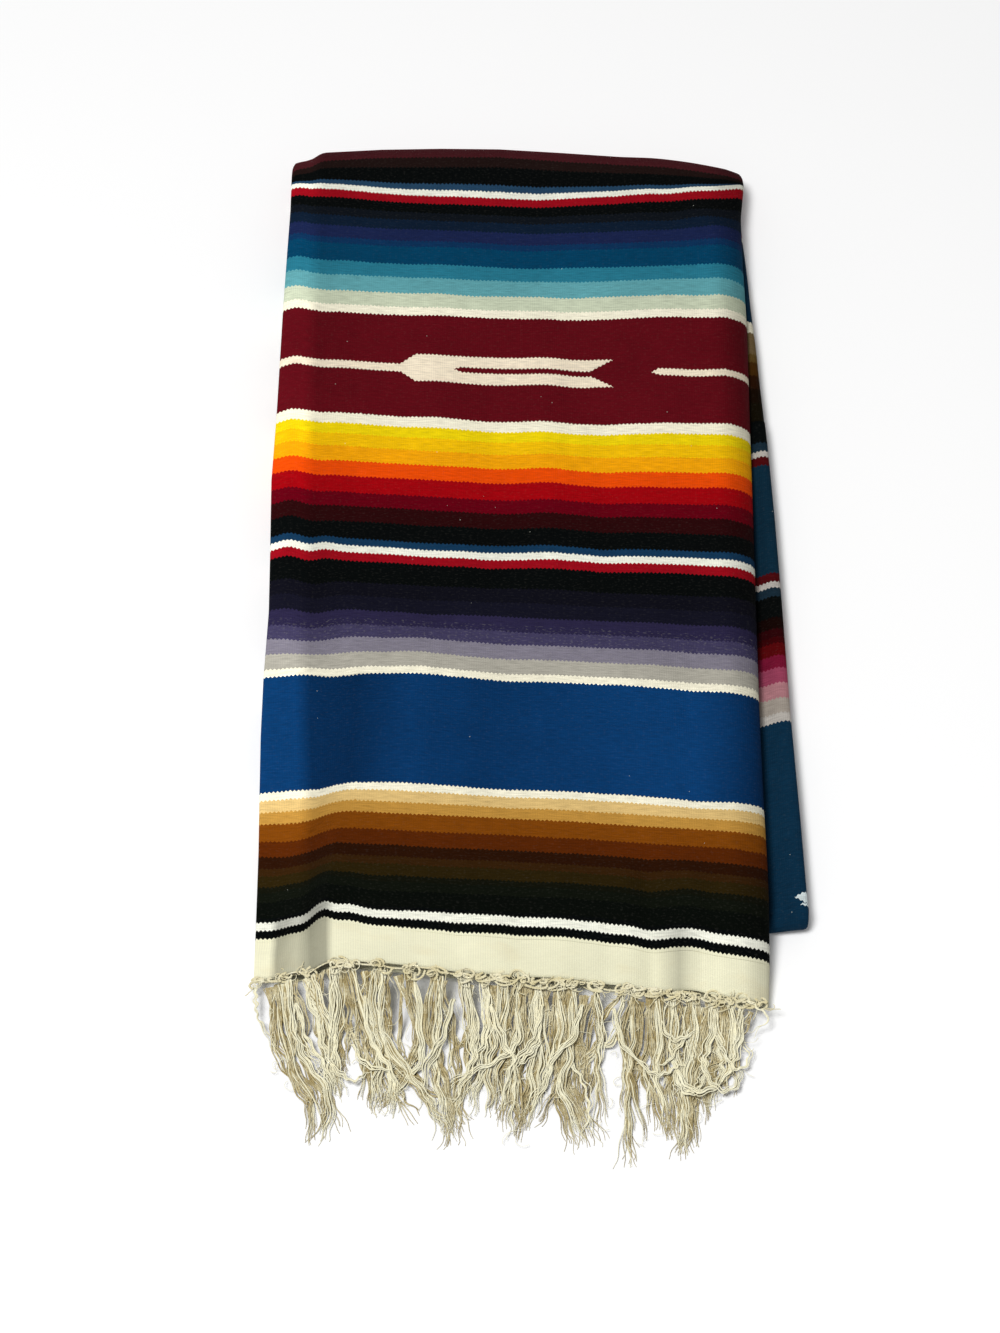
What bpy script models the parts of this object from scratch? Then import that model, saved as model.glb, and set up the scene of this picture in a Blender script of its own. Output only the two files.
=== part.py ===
# A mexican serape, folded to sixteen layers and lying flat on its back.
#
# The web is folded twice along its length, to a ribbon of four layers, and twice across it.
# The fringed end lies on top, at -Y. From the floor up there are four ribbons: two in the
# lower group, which is turned a little, and two in the upper group, whose outer layer is the
# front leaf. The front leaf goes round the far fold (+Y) to the floor.

import math

import bmesh
import bpy
import numpy as np

MM = 0.001  # every size below is in millimetres

# Cloth
WALL = 2.0            # one layer of tapestry weave
GAP = 0.4             # clearance between pieces that touch
RIBBON = 9.75         # four layers: the web folded to a quarter of its width
STACK = 4 * RIBBON    # sixteen layers
EDGE = RIBBON / 2     # radius of a folded edge
GROOVE = 0.7          # how far the crease between two ribbons goes in, as a part of EDGE
LIP = 60              # degrees that a sheet goes on round its folded edges, past the side

# Hidden layers, the filling under the sheets
COVER = WALL + 2 * GAP   # how far it lies under a sheet
FOLD_IN = EDGE + 0.2     # how far it stays in from both ends of a cross fold
RESTS = 0.6              # its upper part stays this far off the floor
FAR_TURNS = (0.0, 15.0, 30.0, 45.0, 60.0, 75.0)  # degrees round a cross fold

# Points along the sections
SIDE_STEPS = 14       # up each layered edge
FOLD_STEPS = 6        # round a folded edge
TOP_STEPS = 18        # across the front leaf

# Front leaf. A row is one weft line, from the hem to the far fold. y is its place on the
# reference warp, and ahead_l, ahead_m and ahead_r are how far it runs ahead of y at the
# three other WARPS. left and right are the side edges. drop is how far the left edge sinks
# towards the floor, and ridge is where it starts to. slump is the fall of the right edge.
WARPS = (-150.0, -50.0, 20.0, 130.0)
LEAF_COLUMNS = ("y", "ahead_l", "ahead_m", "ahead_r", "left", "right", "drop", "ridge", "slump")
LEAF_ROWS = {
    "hem":         (-253.0, 2.0, -3.5, -14.0, -167.5, 141.5, 27.0, -121.0, 1.5),
    "band middle": (-241.0, 4.0, -3.0, -13.0, -167.5, 142.0, 27.0, -121.0, 1.5),
    "band top":    (-229.6, 5.5, -3.0, -12.0, -167.5, 142.5, 27.0, -120.0, 1.5),
    "near fold":   (-205.0, 5.0, -3.6, -12.0, -167.5, 142.5, 26.0, -112.0, 2.0),
    "gold":        (-170.0, 5.0, -4.0, -12.0, -167.0, 142.5, 24.0, -100.0, 2.0),
    "blue bottom": (-132.0, 4.7, -4.2, -12.0, -166.5, 142.0, 21.0, -91.0, 2.5),
    "blue middle": (-94.0, 4.7, -4.3, -11.8, -166.5, 142.0, 15.0, -94.0, 3.0),
    "blue top":    (-55.5, 4.7, -4.4, -11.5, -166.5, 142.0, 9.0, -99.0, 4.0),
    "violet":      (-10.0, 5.5, -3.6, -9.2, -166.0, 142.5, 3.5, -105.0, 5.0),
    "red":         (31.5, 6.5, -2.9, -7.2, -166.0, 143.0, 2.5, -110.0, 6.0),
    "yellow":      (85.0, 7.2, -3.0, -5.0, -166.0, 143.5, 2.5, -120.0, 7.0),
    "maroon low":  (137.0, 8.0, -3.1, -2.5, -165.5, 144.0, 2.5, -125.0, 8.0),
    "maroon top":  (218.0, 6.8, -1.5, 0.5, -164.0, 145.0, 3.0, -130.0, 8.0),
    "teal":        (270.0, 7.5, -1.2, 3.0, -162.5, 145.5, 4.0, -135.0, 8.5),
    "far line":    (320.0, 8.5, -1.0, 6.5, -161.5, 146.0, 5.0, -138.0, 9.0),
}
SLUMP_WIDTH = 24.0        # how far in from the right edge the slump starts
FAR_CREST = 345.5         # y where the far fold starts to turn down
FAR_CORNER = 4.0          # how much earlier it starts at its corners
FAR_END = 165             # degrees of the far fold that the front leaf goes round
FAR_STEPS = 11
FAR_LINE = 320.0          # the last weft line before it
HEM = -253.0              # y of the hem
BAND_TOP = -229.6         # y of the line between end band and front leaf

# Lower group, near fold to far end
LOWER_COLUMNS = ("y", "turn", "left", "right")
LOWER_ROWS = {
    "near fold": (-210.5, 0.063, -131.5, 167.5),
    "motif":     (-150.0, 0.060, -136.0, 165.5),
    "field":     (-70.0, 0.055, -141.0, 162.0),
    "rose":      (18.0, 0.050, -147.0, 156.5),
    "narrow":    (130.0, 0.035, -154.0, 154.5),
    "gold":      (232.0, 0.020, -160.0, 149.5),
    "far":       (325.0, 0.005, -161.0, 144.5),
}
STRIP_END = 150.0         # y where the strip at the right is too narrow to show
STRIP_INNER = 16.5        # height of the strip beside the upper group, which presses it
STRIP_CREST = 20.5        # height of its folded edge, which springs up
STRIP_WIDE = 14.0         # where its flat is narrower than this, it is pressed less
OVERHANG_FALL = 0.42      # slope of the front leaf where nothing is under it
OVERHANG_FROM = (-121.0, -20.0)  # the fall grows from the first x to the second

# Knot row and fringe, laid out from the hem
KNOT_REACH = 9.0
KNOT_THICK = 4.4
FRINGE_THICK = 4.0
FRINGE_LANDS = 40.0       # distance from the hem at which it lies on the floor
FRINGE_COLUMNS = ("reach", "left", "right")
FRINGE_ROWS = {
    "knots":  (0.0, -161.5, 138.0),
    "root":   (14.0, -161.0, 136.5),
    "falls":  (26.0, -159.0, 133.0),
    "lands":  (40.0, -156.0, 129.0),
    "middle": (62.0, -149.0, 124.0),
    "thins":  (85.0, -136.0, 117.0),
    "tips":   (107.0, -118.0, 104.0),
}
FRINGE_TIP_Y = -365.0     # the longest tufts end here


def column(rows, columns, name, y):
    """Value of a named column at y, between the rows of its table."""
    along = [row[0] for row in rows.values()]
    values = [row[columns.index(name)] for row in rows.values()]
    return float(np.interp(y, along, values))


def leaf(name, y):
    return column(LEAF_ROWS, LEAF_COLUMNS, name, y)


def lower(name, y):
    return column(LOWER_ROWS, LOWER_COLUMNS, name, y)


def ease(start, end, value):
    """0 at start, 1 at end, level at both."""
    part = min(max((value - start) / (end - start), 0.0), 1.0)
    return part * part * (3.0 - 2.0 * part)


def weft_y(y, x):
    """y of the weft line that passes the reference warp at y: a cubic over the four warps."""
    ahead = (leaf("ahead_l", y), 0.0, leaf("ahead_m", y), leaf("ahead_r", y))
    total = 0.0
    for i, warp in enumerate(WARPS):
        share = ahead[i]
        for other in WARPS:
            if other != warp:
                share *= (x - other) / (warp - other)
        total += share
    return y + total


def near_fold_y(x):
    """The lower group's near edge, which is turned."""
    return -210.5 + lower("turn", -210.5) * (x - lower("right", -210.5))


def leaf_height(x, y):
    """Top of the front leaf over the floor, on the weft line of y."""
    left, right, ridge = leaf("left", y), leaf("right", y), leaf("ridge", y)
    sink = min(max((ridge - x) / (ridge - left), 0.0), 1.0)
    height = STACK - leaf("drop", y) * sink ** 0.9
    height -= leaf("slump", y) * ease(right - SLUMP_WIDTH, right, x)
    overhang = max(near_fold_y(x) + EDGE - weft_y(y, x), 0.0)
    return height - OVERHANG_FALL * overhang * ease(*OVERHANG_FROM, x)


def folded_section(left, right, wrap_left, wrap_right, across):
    """(x, depth) across a ribbon: folded edge, flat, folded edge. Wraps are in degrees."""
    section = []
    for i in range(FOLD_STEPS + 1):
        angle = math.radians(-wrap_left + (90 + wrap_left) * i / FOLD_STEPS)
        section.append((left + EDGE * (1 - math.cos(angle)), EDGE * (1 - math.sin(angle))))
    inner_left, inner_right = left + EDGE, right - EDGE
    for i in range(1, across):
        section.append((inner_left + (inner_right - inner_left) * i / across, 0.0))
    for i in range(FOLD_STEPS + 1):
        angle = math.radians(90 - (90 + wrap_right) * i / FOLD_STEPS)
        section.append((right - EDGE * (1 - math.cos(angle)), EDGE * (1 - math.sin(angle))))
    return section


def far_crest(x):
    """y where the far fold starts: it comes forward at both corners."""
    middle = (leaf("left", FAR_LINE) + leaf("right", FAR_LINE)) / 2
    half = (leaf("right", FAR_LINE) - leaf("left", FAR_LINE)) / 2
    return FAR_CREST - FAR_CORNER * abs((x - middle) / half) ** 4


def leaf_point(x, depth, y):
    """A point of the front leaf on the weft line of y."""
    return (x, weft_y(y, x), leaf_height(x, y) - depth)


def fold_point(x, depth, angle):
    """A point of the front leaf angle degrees round the far fold."""
    radius = leaf_height(x, FAR_LINE) / 2
    reach = radius - depth
    turn = math.radians(angle)
    return (x, far_crest(x) + reach * math.sin(turn), radius + reach * math.cos(turn))


def loft(name, rings, closed=False, caps=False):
    """A surface through rings of equal length."""
    mesh = bpy.data.meshes.new(name)
    bm = bmesh.new()
    rows = [[bm.verts.new([c * MM for c in point]) for point in ring] for ring in rings]
    count = len(rings[0])
    for near, far in zip(rows, rows[1:]):
        for i in range(count if closed else count - 1):
            j = (i + 1) % count
            bm.faces.new((near[i], near[j], far[j], far[i]))
    if caps:
        bm.faces.new(list(reversed(rows[0])))
        bm.faces.new(rows[-1])
    bmesh.ops.recalc_face_normals(bm, faces=bm.faces)
    bm.to_mesh(mesh)
    bm.free()
    return bpy.data.objects.new(name, mesh)


def point_up(obj):
    """Turn an open sheet so that its faces look up at the middle of the sheet."""
    if sum(face.normal.z * face.area for face in obj.data.polygons) < 0:
        obj.data.flip_normals()


def cloth_shell(name, rings, colour, collection):
    obj = loft(name, rings)
    point_up(obj)
    solid = obj.modifiers.new("cloth", "SOLIDIFY")
    solid.thickness = WALL * MM
    solid.offset = -1.0
    solid.use_even_offset = False
    finish(obj, colour, collection)
    return obj


def finish(obj, colour, collection, roughness=0.95):
    """Own material, smooth shading and a place in the collection."""
    material = bpy.data.materials.new(obj.name)
    material.use_nodes = True
    shader = material.node_tree.nodes["Principled BSDF"]
    shader.inputs["Base Color"].default_value = (*colour, 1.0)
    shader.inputs["Roughness"].default_value = roughness
    shader.inputs["Metallic"].default_value = 0.0
    obj.data.materials.append(material)
    obj.data.shade_smooth()
    obj.data.set_sharp_from_angle(angle=math.radians(40))
    collection.objects.link(obj)


def leaf_section(y):
    return folded_section(leaf("left", y), leaf("right", y), LIP, LIP, TOP_STEPS)


def leaf_rings(start, end):
    """Rings of the front leaf's sheet at each weft line between two y."""
    lines = [row[0] for row in LEAF_ROWS.values()]
    inside = [y for y in lines if start + 1.0 < y < end - 1.0]
    return [[leaf_point(x, depth, y) for x, depth in leaf_section(y)]
            for y in [start] + inside + [end]]


def fold_rings():
    """Rings of the front leaf round the far fold."""
    section = leaf_section(FAR_LINE)
    angles = [FAR_END * i / FAR_STEPS for i in range(FAR_STEPS + 1)]
    return [[fold_point(x, depth, angle) for x, depth in section] for angle in angles]


def groove(z):
    """How far a folded edge curves in at height z: full at each crease between ribbons."""
    along = (z % RIBBON) - EDGE
    inset = EDGE - math.sqrt(max(EDGE * EDGE - along * along, 0.0))
    return min(inset, GROOVE * EDGE)


def edge_points(x, low, high, outward, steps):
    """Points up a layered edge at x, from low to high."""
    points = []
    for i in range(steps + 1):
        z = low + (high - low) * i / steps
        points.append((x - outward * groove(z), z))
    return points


def inner_fold(x, side, cover=COVER):
    """(x, depth) of the filling of a folded edge, from below up to the top. side is -1 or 1."""
    radius = EDGE - cover
    points = []
    for i in range(FOLD_STEPS + 1):
        angle = math.radians(-90 + 180 * i / FOLD_STEPS)
        points.append((x - side * EDGE + side * radius * math.cos(angle),
                       EDGE - radius * math.sin(angle)))
    return points


def slope_factor(x, y):
    """How much longer a drop is than a thickness, where the front leaf slopes."""
    step = 1.0
    along_x = (leaf_height(x + step, y) - leaf_height(x - step, y)) / (2 * step)
    along_y = (leaf_height(x, y + step) - leaf_height(x, y - step)) / (2 * step)
    return math.sqrt(1.0 + along_x * along_x + along_y * along_y)


def upper_underside(x, y):
    """Underside of the upper group: on the lower group, or down to the floor beyond it."""
    low = min(max(leaf_height(x, y) - 2 * RIBBON, RESTS), 2 * RIBBON - 0.5)
    return low + (RESTS - low) * ease(280.0, 318.0, y)


def upper_ring(y, shift=0.0, place=None):
    """Closed ring of the upper filling on a weft line, or at a given y for each x."""
    left, right = leaf("left", y), leaf("right", y)

    def side(x, outward):
        """Up one side: layered edge, in under the sheet's lip, folded edge."""
        inside = x - outward * EDGE
        low = upper_underside(inside, y)
        lip = min(leaf_height(inside, y), leaf_height(x, y)) - RIBBON
        high = max(lip - 2 * GAP, low + GAP)
        points = edge_points(x, low, high, outward, SIDE_STEPS) + [(inside, high + GAP / 2)]
        fold = inner_fold(x, outward, COVER * slope_factor(inside, y))
        return points + [(at, leaf_height(at, y) - depth) for at, depth in fold]

    ring = side(left, -1)
    for i in range(1, TOP_STEPS):
        x = left + EDGE + (right - left - 2 * EDGE) * i / TOP_STEPS
        ring.append((x, leaf_height(x, y) - COVER * slope_factor(x, y)))
    ring += reversed(side(right, 1))
    for i in range(1, TOP_STEPS):
        x = right - EDGE - (right - left - 2 * EDGE) * i / TOP_STEPS
        ring.append((x, upper_underside(x, y)))
    return [(x, (place(x) if place else weft_y(y, x)) + shift, z) for x, z in ring]


def far_ring(angle, shift=0.0):
    """Closed ring of the upper filling inside the far fold."""
    left, right = leaf("left", FAR_LINE) + FOLD_IN, leaf("right", FAR_LINE) - FOLD_IN
    turn = math.radians(angle)
    side = SIDE_STEPS + FOLD_STEPS + 2
    ring = []

    def add(x, part):
        radius = leaf_height(x, FAR_LINE) / 2
        reach = radius - COVER
        y = far_crest(x) + reach * math.sin(turn) + shift
        ring.append((x, y, radius + part * reach * math.cos(turn)))

    for i in range(side + 1):
        add(left, -1 + 2 * i / side)
    for i in range(1, TOP_STEPS):
        add(left + (right - left) * i / TOP_STEPS, 1)
    for i in range(side + 1):
        add(right, 1 - 2 * i / side)
    for i in range(1, TOP_STEPS):
        add(right - (right - left) * i / TOP_STEPS, -1)
    return ring


def upper_filling():
    """Loft under the front leaf and the end band."""
    start = HEM + 2.5
    lines = [start] + [row[0] for row in LEAF_ROWS.values() if row[0] > start + 1.0]
    rings = [upper_ring(y) for y in lines]
    rings.append(upper_ring(FAR_LINE, -9.0, far_crest))
    rings.append(far_ring(0.0, -4.0))
    rings += [far_ring(angle) for angle in FAR_TURNS]
    return loft("upper filling", rings, closed=True, caps=True)


def strip_inner(y):
    """x where the strip at the right starts, beside the upper group."""
    return leaf("right", y) + 0.8


def strip_height(x, y):
    """Top of the strip: pressed beside the upper group, sprung up at its folded edge."""
    inner, crest = strip_inner(y), lower("right", y) - EDGE
    rise = (STRIP_CREST - STRIP_INNER) * ease(0.0, STRIP_WIDE, crest - inner)
    return STRIP_CREST - rise * (1.0 - ease(inner, crest, x))


def lower_y(y, x):
    """The lower group is turned: its lines run ahead at the right."""
    return y + lower("turn", y) * (x - lower("right", y))


def lower_ring(y, angle=0.0):
    """Closed ring of the lower filling, angle degrees round the near fold."""
    left, right = lower("left", y), lower("right", y)
    covered = y < STRIP_END
    inner = strip_inner(y) if covered else right - 3 * EDGE
    turn = math.radians(angle)
    level = 2 * RIBBON
    ring = []

    def add(x, z, top, cover=0.0):
        """A point at height z of a stack of height top, squeezed round the near fold."""
        radius = top / 2
        reach = radius - cover if angle else radius
        part = (z - radius) / radius
        here = lower_y(y, x)
        if angle:
            here += radius - reach * math.sin(turn)
            z = radius + part * reach * math.cos(turn)
        ring.append((x, here, z))

    cover = COVER if covered else 0.0
    crest = strip_height(right, y) if covered else level
    pull = FOLD_IN if angle else 0.0
    for x, z in edge_points(left, 0.0, level, -1, SIDE_STEPS):
        add(left + 2.0 if angle else x, z, level)
    for i in range(1, 9):
        add(left + 4.0 + (inner - 1.5 - left - 4.0) * i / 8, level, level)
    for i in range(4):
        x = inner + (right - EDGE - 1.0 - inner) * i / 4
        top = strip_height(x, y) if covered else level
        add(x, top if angle else top - cover, top, cover)
    fold = [(x, crest - depth) for x, depth in inner_fold(right, 1)]
    if not covered:
        fold = edge_points(right, 1.5 * RIBBON, level, 1, FOLD_STEPS)
    for x, z in reversed(fold):
        add(right - pull if angle else x, z, crest, cover)
    below = edge_points(right, 0.0, RIBBON, 1, SIDE_STEPS)
    if not covered:
        below = edge_points(right, 0.0, 1.4 * RIBBON, 1, SIDE_STEPS)
    for x, z in reversed(below):
        add(right - pull if angle else x, z, crest, cover)
    return ring


def lower_filling():
    """Loft under and beside the upper group, with a rounded near fold."""
    first = LOWER_ROWS["near fold"][0]
    rings = [lower_ring(first, max(angle, 0.01)) for angle in reversed(FAR_TURNS)]
    lines = [first + STRIP_CREST / 2 + 3.0] + [row[0] for row in LOWER_ROWS.values()][1:]
    lines = sorted(lines + [STRIP_END - 1.0, STRIP_END + 4.0])
    rings += [lower_ring(y) for y in lines]
    rings.append(lower_ring(336.0))
    return loft("lower filling", rings, closed=True, caps=True)


def join(target, other, cutters):
    """Add the other solid to the target."""
    union = target.modifiers.new("union", "BOOLEAN")
    union.operation = "UNION"
    union.object = other
    other.hide_render = True
    other.display_type = "WIRE"
    cutters.objects.link(other)


def back_rings():
    """Rings of the strip at the right, from under its near fold to where it ends."""
    rings = []
    first = LOWER_ROWS["near fold"][0]
    start = first + STRIP_CREST / 2

    def section(y):
        inner, right = strip_inner(y), lower("right", y)
        flat = [(inner + (right - EDGE - inner) * i / 5, 0.0) for i in range(5)]
        fold = folded_section(inner, right, 0, 40, 2)[-7:]
        return flat + fold

    for i in range(FAR_STEPS, 0, -1):
        turn = math.radians(FAR_END * i / FAR_STEPS)
        ring = []
        for x, depth in section(first):
            radius = strip_height(x, first) / 2
            reach = radius - depth
            ring.append((x, lower_y(first, x) + radius - reach * math.sin(turn),
                         radius + reach * math.cos(turn)))
        rings.append(ring)
    lines = [start] + [row[0] for row in LOWER_ROWS.values() if start + 5 < row[0] < STRIP_END]
    for y in lines + [STRIP_END - 2.0]:
        rings.append([(x, lower_y(y, x), strip_height(x, y) - depth) for x, depth in section(y)])
    return rings


def knot_rings():
    """Rings of the knot row, from left to right along the hem."""
    left, right = FRINGE_ROWS["knots"][1], FRINGE_ROWS["knots"][2]
    rings = []
    for i in range(25):
        x = left + (right - left) * i / 24
        middle = max(leaf_height(x, HEM) - WALL, KNOT_THICK / 2)
        ring = []
        for corner in range(8):
            turn = math.radians(45 * corner + 22.5)
            ring.append((x, weft_y(HEM, x) - GAP - KNOT_REACH / 2 * (1 - math.cos(turn)),
                         middle + KNOT_THICK / 2 * math.sin(turn)))
        rings.append(ring)
    return rings


def fringe_rings():
    """Rings of the plain slab of the fringe's reach, from the knots to the tips."""
    reaches = [row[0] for row in FRINGE_ROWS.values()]
    rings = []
    for reach, left, right in FRINGE_ROWS.values():
        top, bottom = [], []
        for i in range(15):
            x = left + (right - left) * i / 14
            start = weft_y(HEM, x) - 2 * GAP - KNOT_REACH
            tip = FRINGE_TIP_Y + 16.0 * ((x + 5.0) / 112.0) ** 2
            y = start + (tip - start) * reach / reaches[-1]
            lift = max(leaf_height(x, HEM) - WALL - FRINGE_THICK / 2, 0.3)
            z = lift * (1 - ease(0.0, FRINGE_LANDS, reach))
            top.append((x, y, z + FRINGE_THICK))
            bottom.append((x, y, z))
        rings.append(top + bottom[::-1])
    return rings


def build():
    for old in list(bpy.data.objects):
        bpy.data.objects.remove(old, do_unlink=True)
    serape = bpy.data.collections.new("mexican_serape")
    cutters = bpy.data.collections.new("cutters")
    for collection in (serape, cutters):
        bpy.context.scene.collection.children.link(collection)

    cloth_shell("front_leaf", leaf_rings(BAND_TOP + GAP, FAR_LINE) + fold_rings(),
                (0.10, 0.01, 0.015), serape)
    cloth_shell("end_band", leaf_rings(HEM, BAND_TOP - GAP), (0.83, 0.79, 0.62), serape)
    cloth_shell("back_leaf", back_rings(), (0.01, 0.05, 0.12), serape)

    hidden = upper_filling()
    hidden.name = "hidden_layers"
    finish(hidden, (0.02, 0.03, 0.06), serape)
    join(hidden, lower_filling(), cutters)

    finish(loft("knot_row", knot_rings(), closed=True, caps=True), (0.62, 0.58, 0.44), serape)
    finish(loft("fringe", fringe_rings(), closed=True, caps=True), (0.68, 0.64, 0.48), serape)


build()
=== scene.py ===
# The looks of a mexican serape, folded to sixteen layers and lying flat, fringe to the front.
# Sizes are in millimetres. Heights are over the surface that it lies on.
import math
import random

import bmesh
import bpy
import numpy as np
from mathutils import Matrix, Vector, noise


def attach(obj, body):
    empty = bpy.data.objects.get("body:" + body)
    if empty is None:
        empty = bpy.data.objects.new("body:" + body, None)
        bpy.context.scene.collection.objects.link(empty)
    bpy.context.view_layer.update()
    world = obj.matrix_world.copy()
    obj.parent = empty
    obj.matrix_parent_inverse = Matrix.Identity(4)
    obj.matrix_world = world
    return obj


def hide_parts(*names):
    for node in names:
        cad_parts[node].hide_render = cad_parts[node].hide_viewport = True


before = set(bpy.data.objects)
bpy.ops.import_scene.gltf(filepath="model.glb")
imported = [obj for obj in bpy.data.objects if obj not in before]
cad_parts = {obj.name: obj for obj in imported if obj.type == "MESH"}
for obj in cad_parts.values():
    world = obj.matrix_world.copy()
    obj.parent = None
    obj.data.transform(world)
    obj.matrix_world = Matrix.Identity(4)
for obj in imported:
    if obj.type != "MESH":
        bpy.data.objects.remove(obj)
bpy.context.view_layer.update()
mm = 0.001

# The folded web

stack = {
    "ribbon": 9.75,     # four layers: the web folded to a quarter of its width
    "height": 39.0,     # sixteen layers
    "layers": 8,        # from the outer face in to the middle of the stack
    "wall": 1.4,        # one layer of cloth
    "rests": 0.6,       # what lies beside the lower ribbons clears the floor by this
    "hem": -251.5,
    "bandTop": -230.9,  # where the end band ends, just short of the first black stripe
    "farLine": 320.0,   # last weft line before the far fold
    "farCrest": 345.5,  # where the far fold turns down, about
    "nearLine": -215.3, # near fold of the lower group
    "backStart": 330.0, # first line of the lower group behind the far fold
    "partFrom": 250.0, "partTo": 318.0,
}

warps = (-150.0, -50.0, 20.0, 130.0)  # the second one is the reference warp
leafColumns = ("y", "aheadLeft", "aheadMiddle", "aheadRight", "left", "right", "drop", "ridge", "slump")
leafRows = {
    "hem": (-251.5, 1.6, -3.5, -13.6, -167.5, 141.5, 27.0, -121.0, 2.5),
    "band middle": (-241.0, 3.6, -3.2, -13.0, -167.5, 142.0, 27.0, -122.5, 2.5),
    "band top": (-229.6, 4.4, -3.2, -12.4, -167.5, 142.5, 27.0, -124.5, 2.5),
    "near fold": (-205.0, 5.0, -3.6, -12.0, -167.5, 142.5, 26.0, -123.0, 3.0),
    "gold": (-170.0, 5.0, -4.0, -12.0, -167.5, 142.5, 24.0, -118.0, 3.5),
    "blue bottom": (-132.0, 4.7, -4.2, -12.0, -168.0, 142.0, 20.0, -106.0, 4.5),
    "blue middle": (-94.0, 4.7, -4.3, -11.8, -168.3, 142.0, 15.0, -99.0, 6.0),
    "blue top": (-55.5, 4.7, -4.4, -11.5, -167.6, 142.0, 10.0, -102.0, 7.0),
    "violet": (-10.0, 5.5, -3.6, -9.2, -165.6, 142.5, 6.5, -112.0, 7.5),
    "red": (31.5, 6.5, -2.9, -7.2, -166.2, 143.0, 6.0, -124.0, 8.0),
    "yellow": (85.0, 7.2, -3.0, -5.5, -167.2, 143.5, 6.0, -134.0, 9.0),
    "maroon low": (137.0, 7.0, -3.1, -3.5, -165.5, 144.0, 6.0, -137.0, 10.0),
    "maroon top": (218.0, 6.2, -1.5, 0.0, -164.0, 145.0, 6.0, -137.0, 10.5),
    "teal": (270.0, 7.5, -1.2, 3.4, -162.5, 144.0, 6.0, -136.0, 10.5),
    "pale blue": (300.0, 8.5, -1.1, 7.2, -161.5, 144.0, 6.0, -136.0, 11.0),
    "far line": (320.0, 9.6, -1.0, 12.0, -161.5, 147.0, 6.0, -138.0, 12.0),
}
leafShape = {
    "slumpWidth": 19.0,     # the right edge sinks over this much
    "farSlump": 70.0, "farFrom": 285.0, "farTo": 325.0,    # and over this much at the far fold
    "stepFrom": -135.0, "stepTo": -205.0,   # the left side sinks in a step near the hem
    "overhangFall": 0.42, "overhangFrom": -121.0, "overhangTo": -20.0, "overhangLine": -210.5,
}
# Share of the way from ridge to left edge, and share of the drop: near the hem, and elsewhere
stepAcross = (0.0, 0.015, 0.13, 0.25, 0.31, 0.43, 0.50, 0.62, 0.72, 0.78, 1.0)
stepDown = (0.0, 0.02, 0.25, 0.49, 0.56, 0.66, 0.73, 0.88, 0.97, 0.99, 1.0)
slopeAcross = (0.0, 0.10, 0.22, 0.40, 0.54, 0.64, 1.0)
slopeDown = (0.0, 0.05, 0.26, 0.74, 0.93, 0.99, 1.0)
# The far fold's line, from the left corner to the right one
crestAcross = (-161.5, -159.5, -156.0, -150.0, -142.0, -100.0, -60.0,
               -20.0, 22.0, 62.0, 100.0, 120.0, 135.0, 147.0)
crestLine = (340.2, 343.2, 344.6, 345.6, 346.3, 349.0, 349.8,
             349.3, 346.2, 342.8, 341.2, 340.8, 340.8, 339.0)

lowerColumns = ("y", "turn", "left", "right")
lowerRows = {
    "near fold": (-210.5, 0.063, -131.5, 167.5),
    "motif": (-150.0, 0.060, -136.0, 165.5),
    "field": (-70.0, 0.055, -141.0, 162.3),
    "rose": (18.0, 0.052, -147.0, 160.0),
    "blue": (75.0, 0.050, -150.5, 158.2),
    "narrow": (130.0, 0.045, -154.0, 155.8),
    "gold": (232.0, 0.020, -160.0, 149.7),
    "far": (325.0, 0.005, -161.0, 144.5),
}
strip = {"end": 150.0, "inner": 15.0, "crest": 21.0, "wide": 14.0, "clear": 0.8, "edge": 4.875,
         "corner": 0.6}

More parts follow.
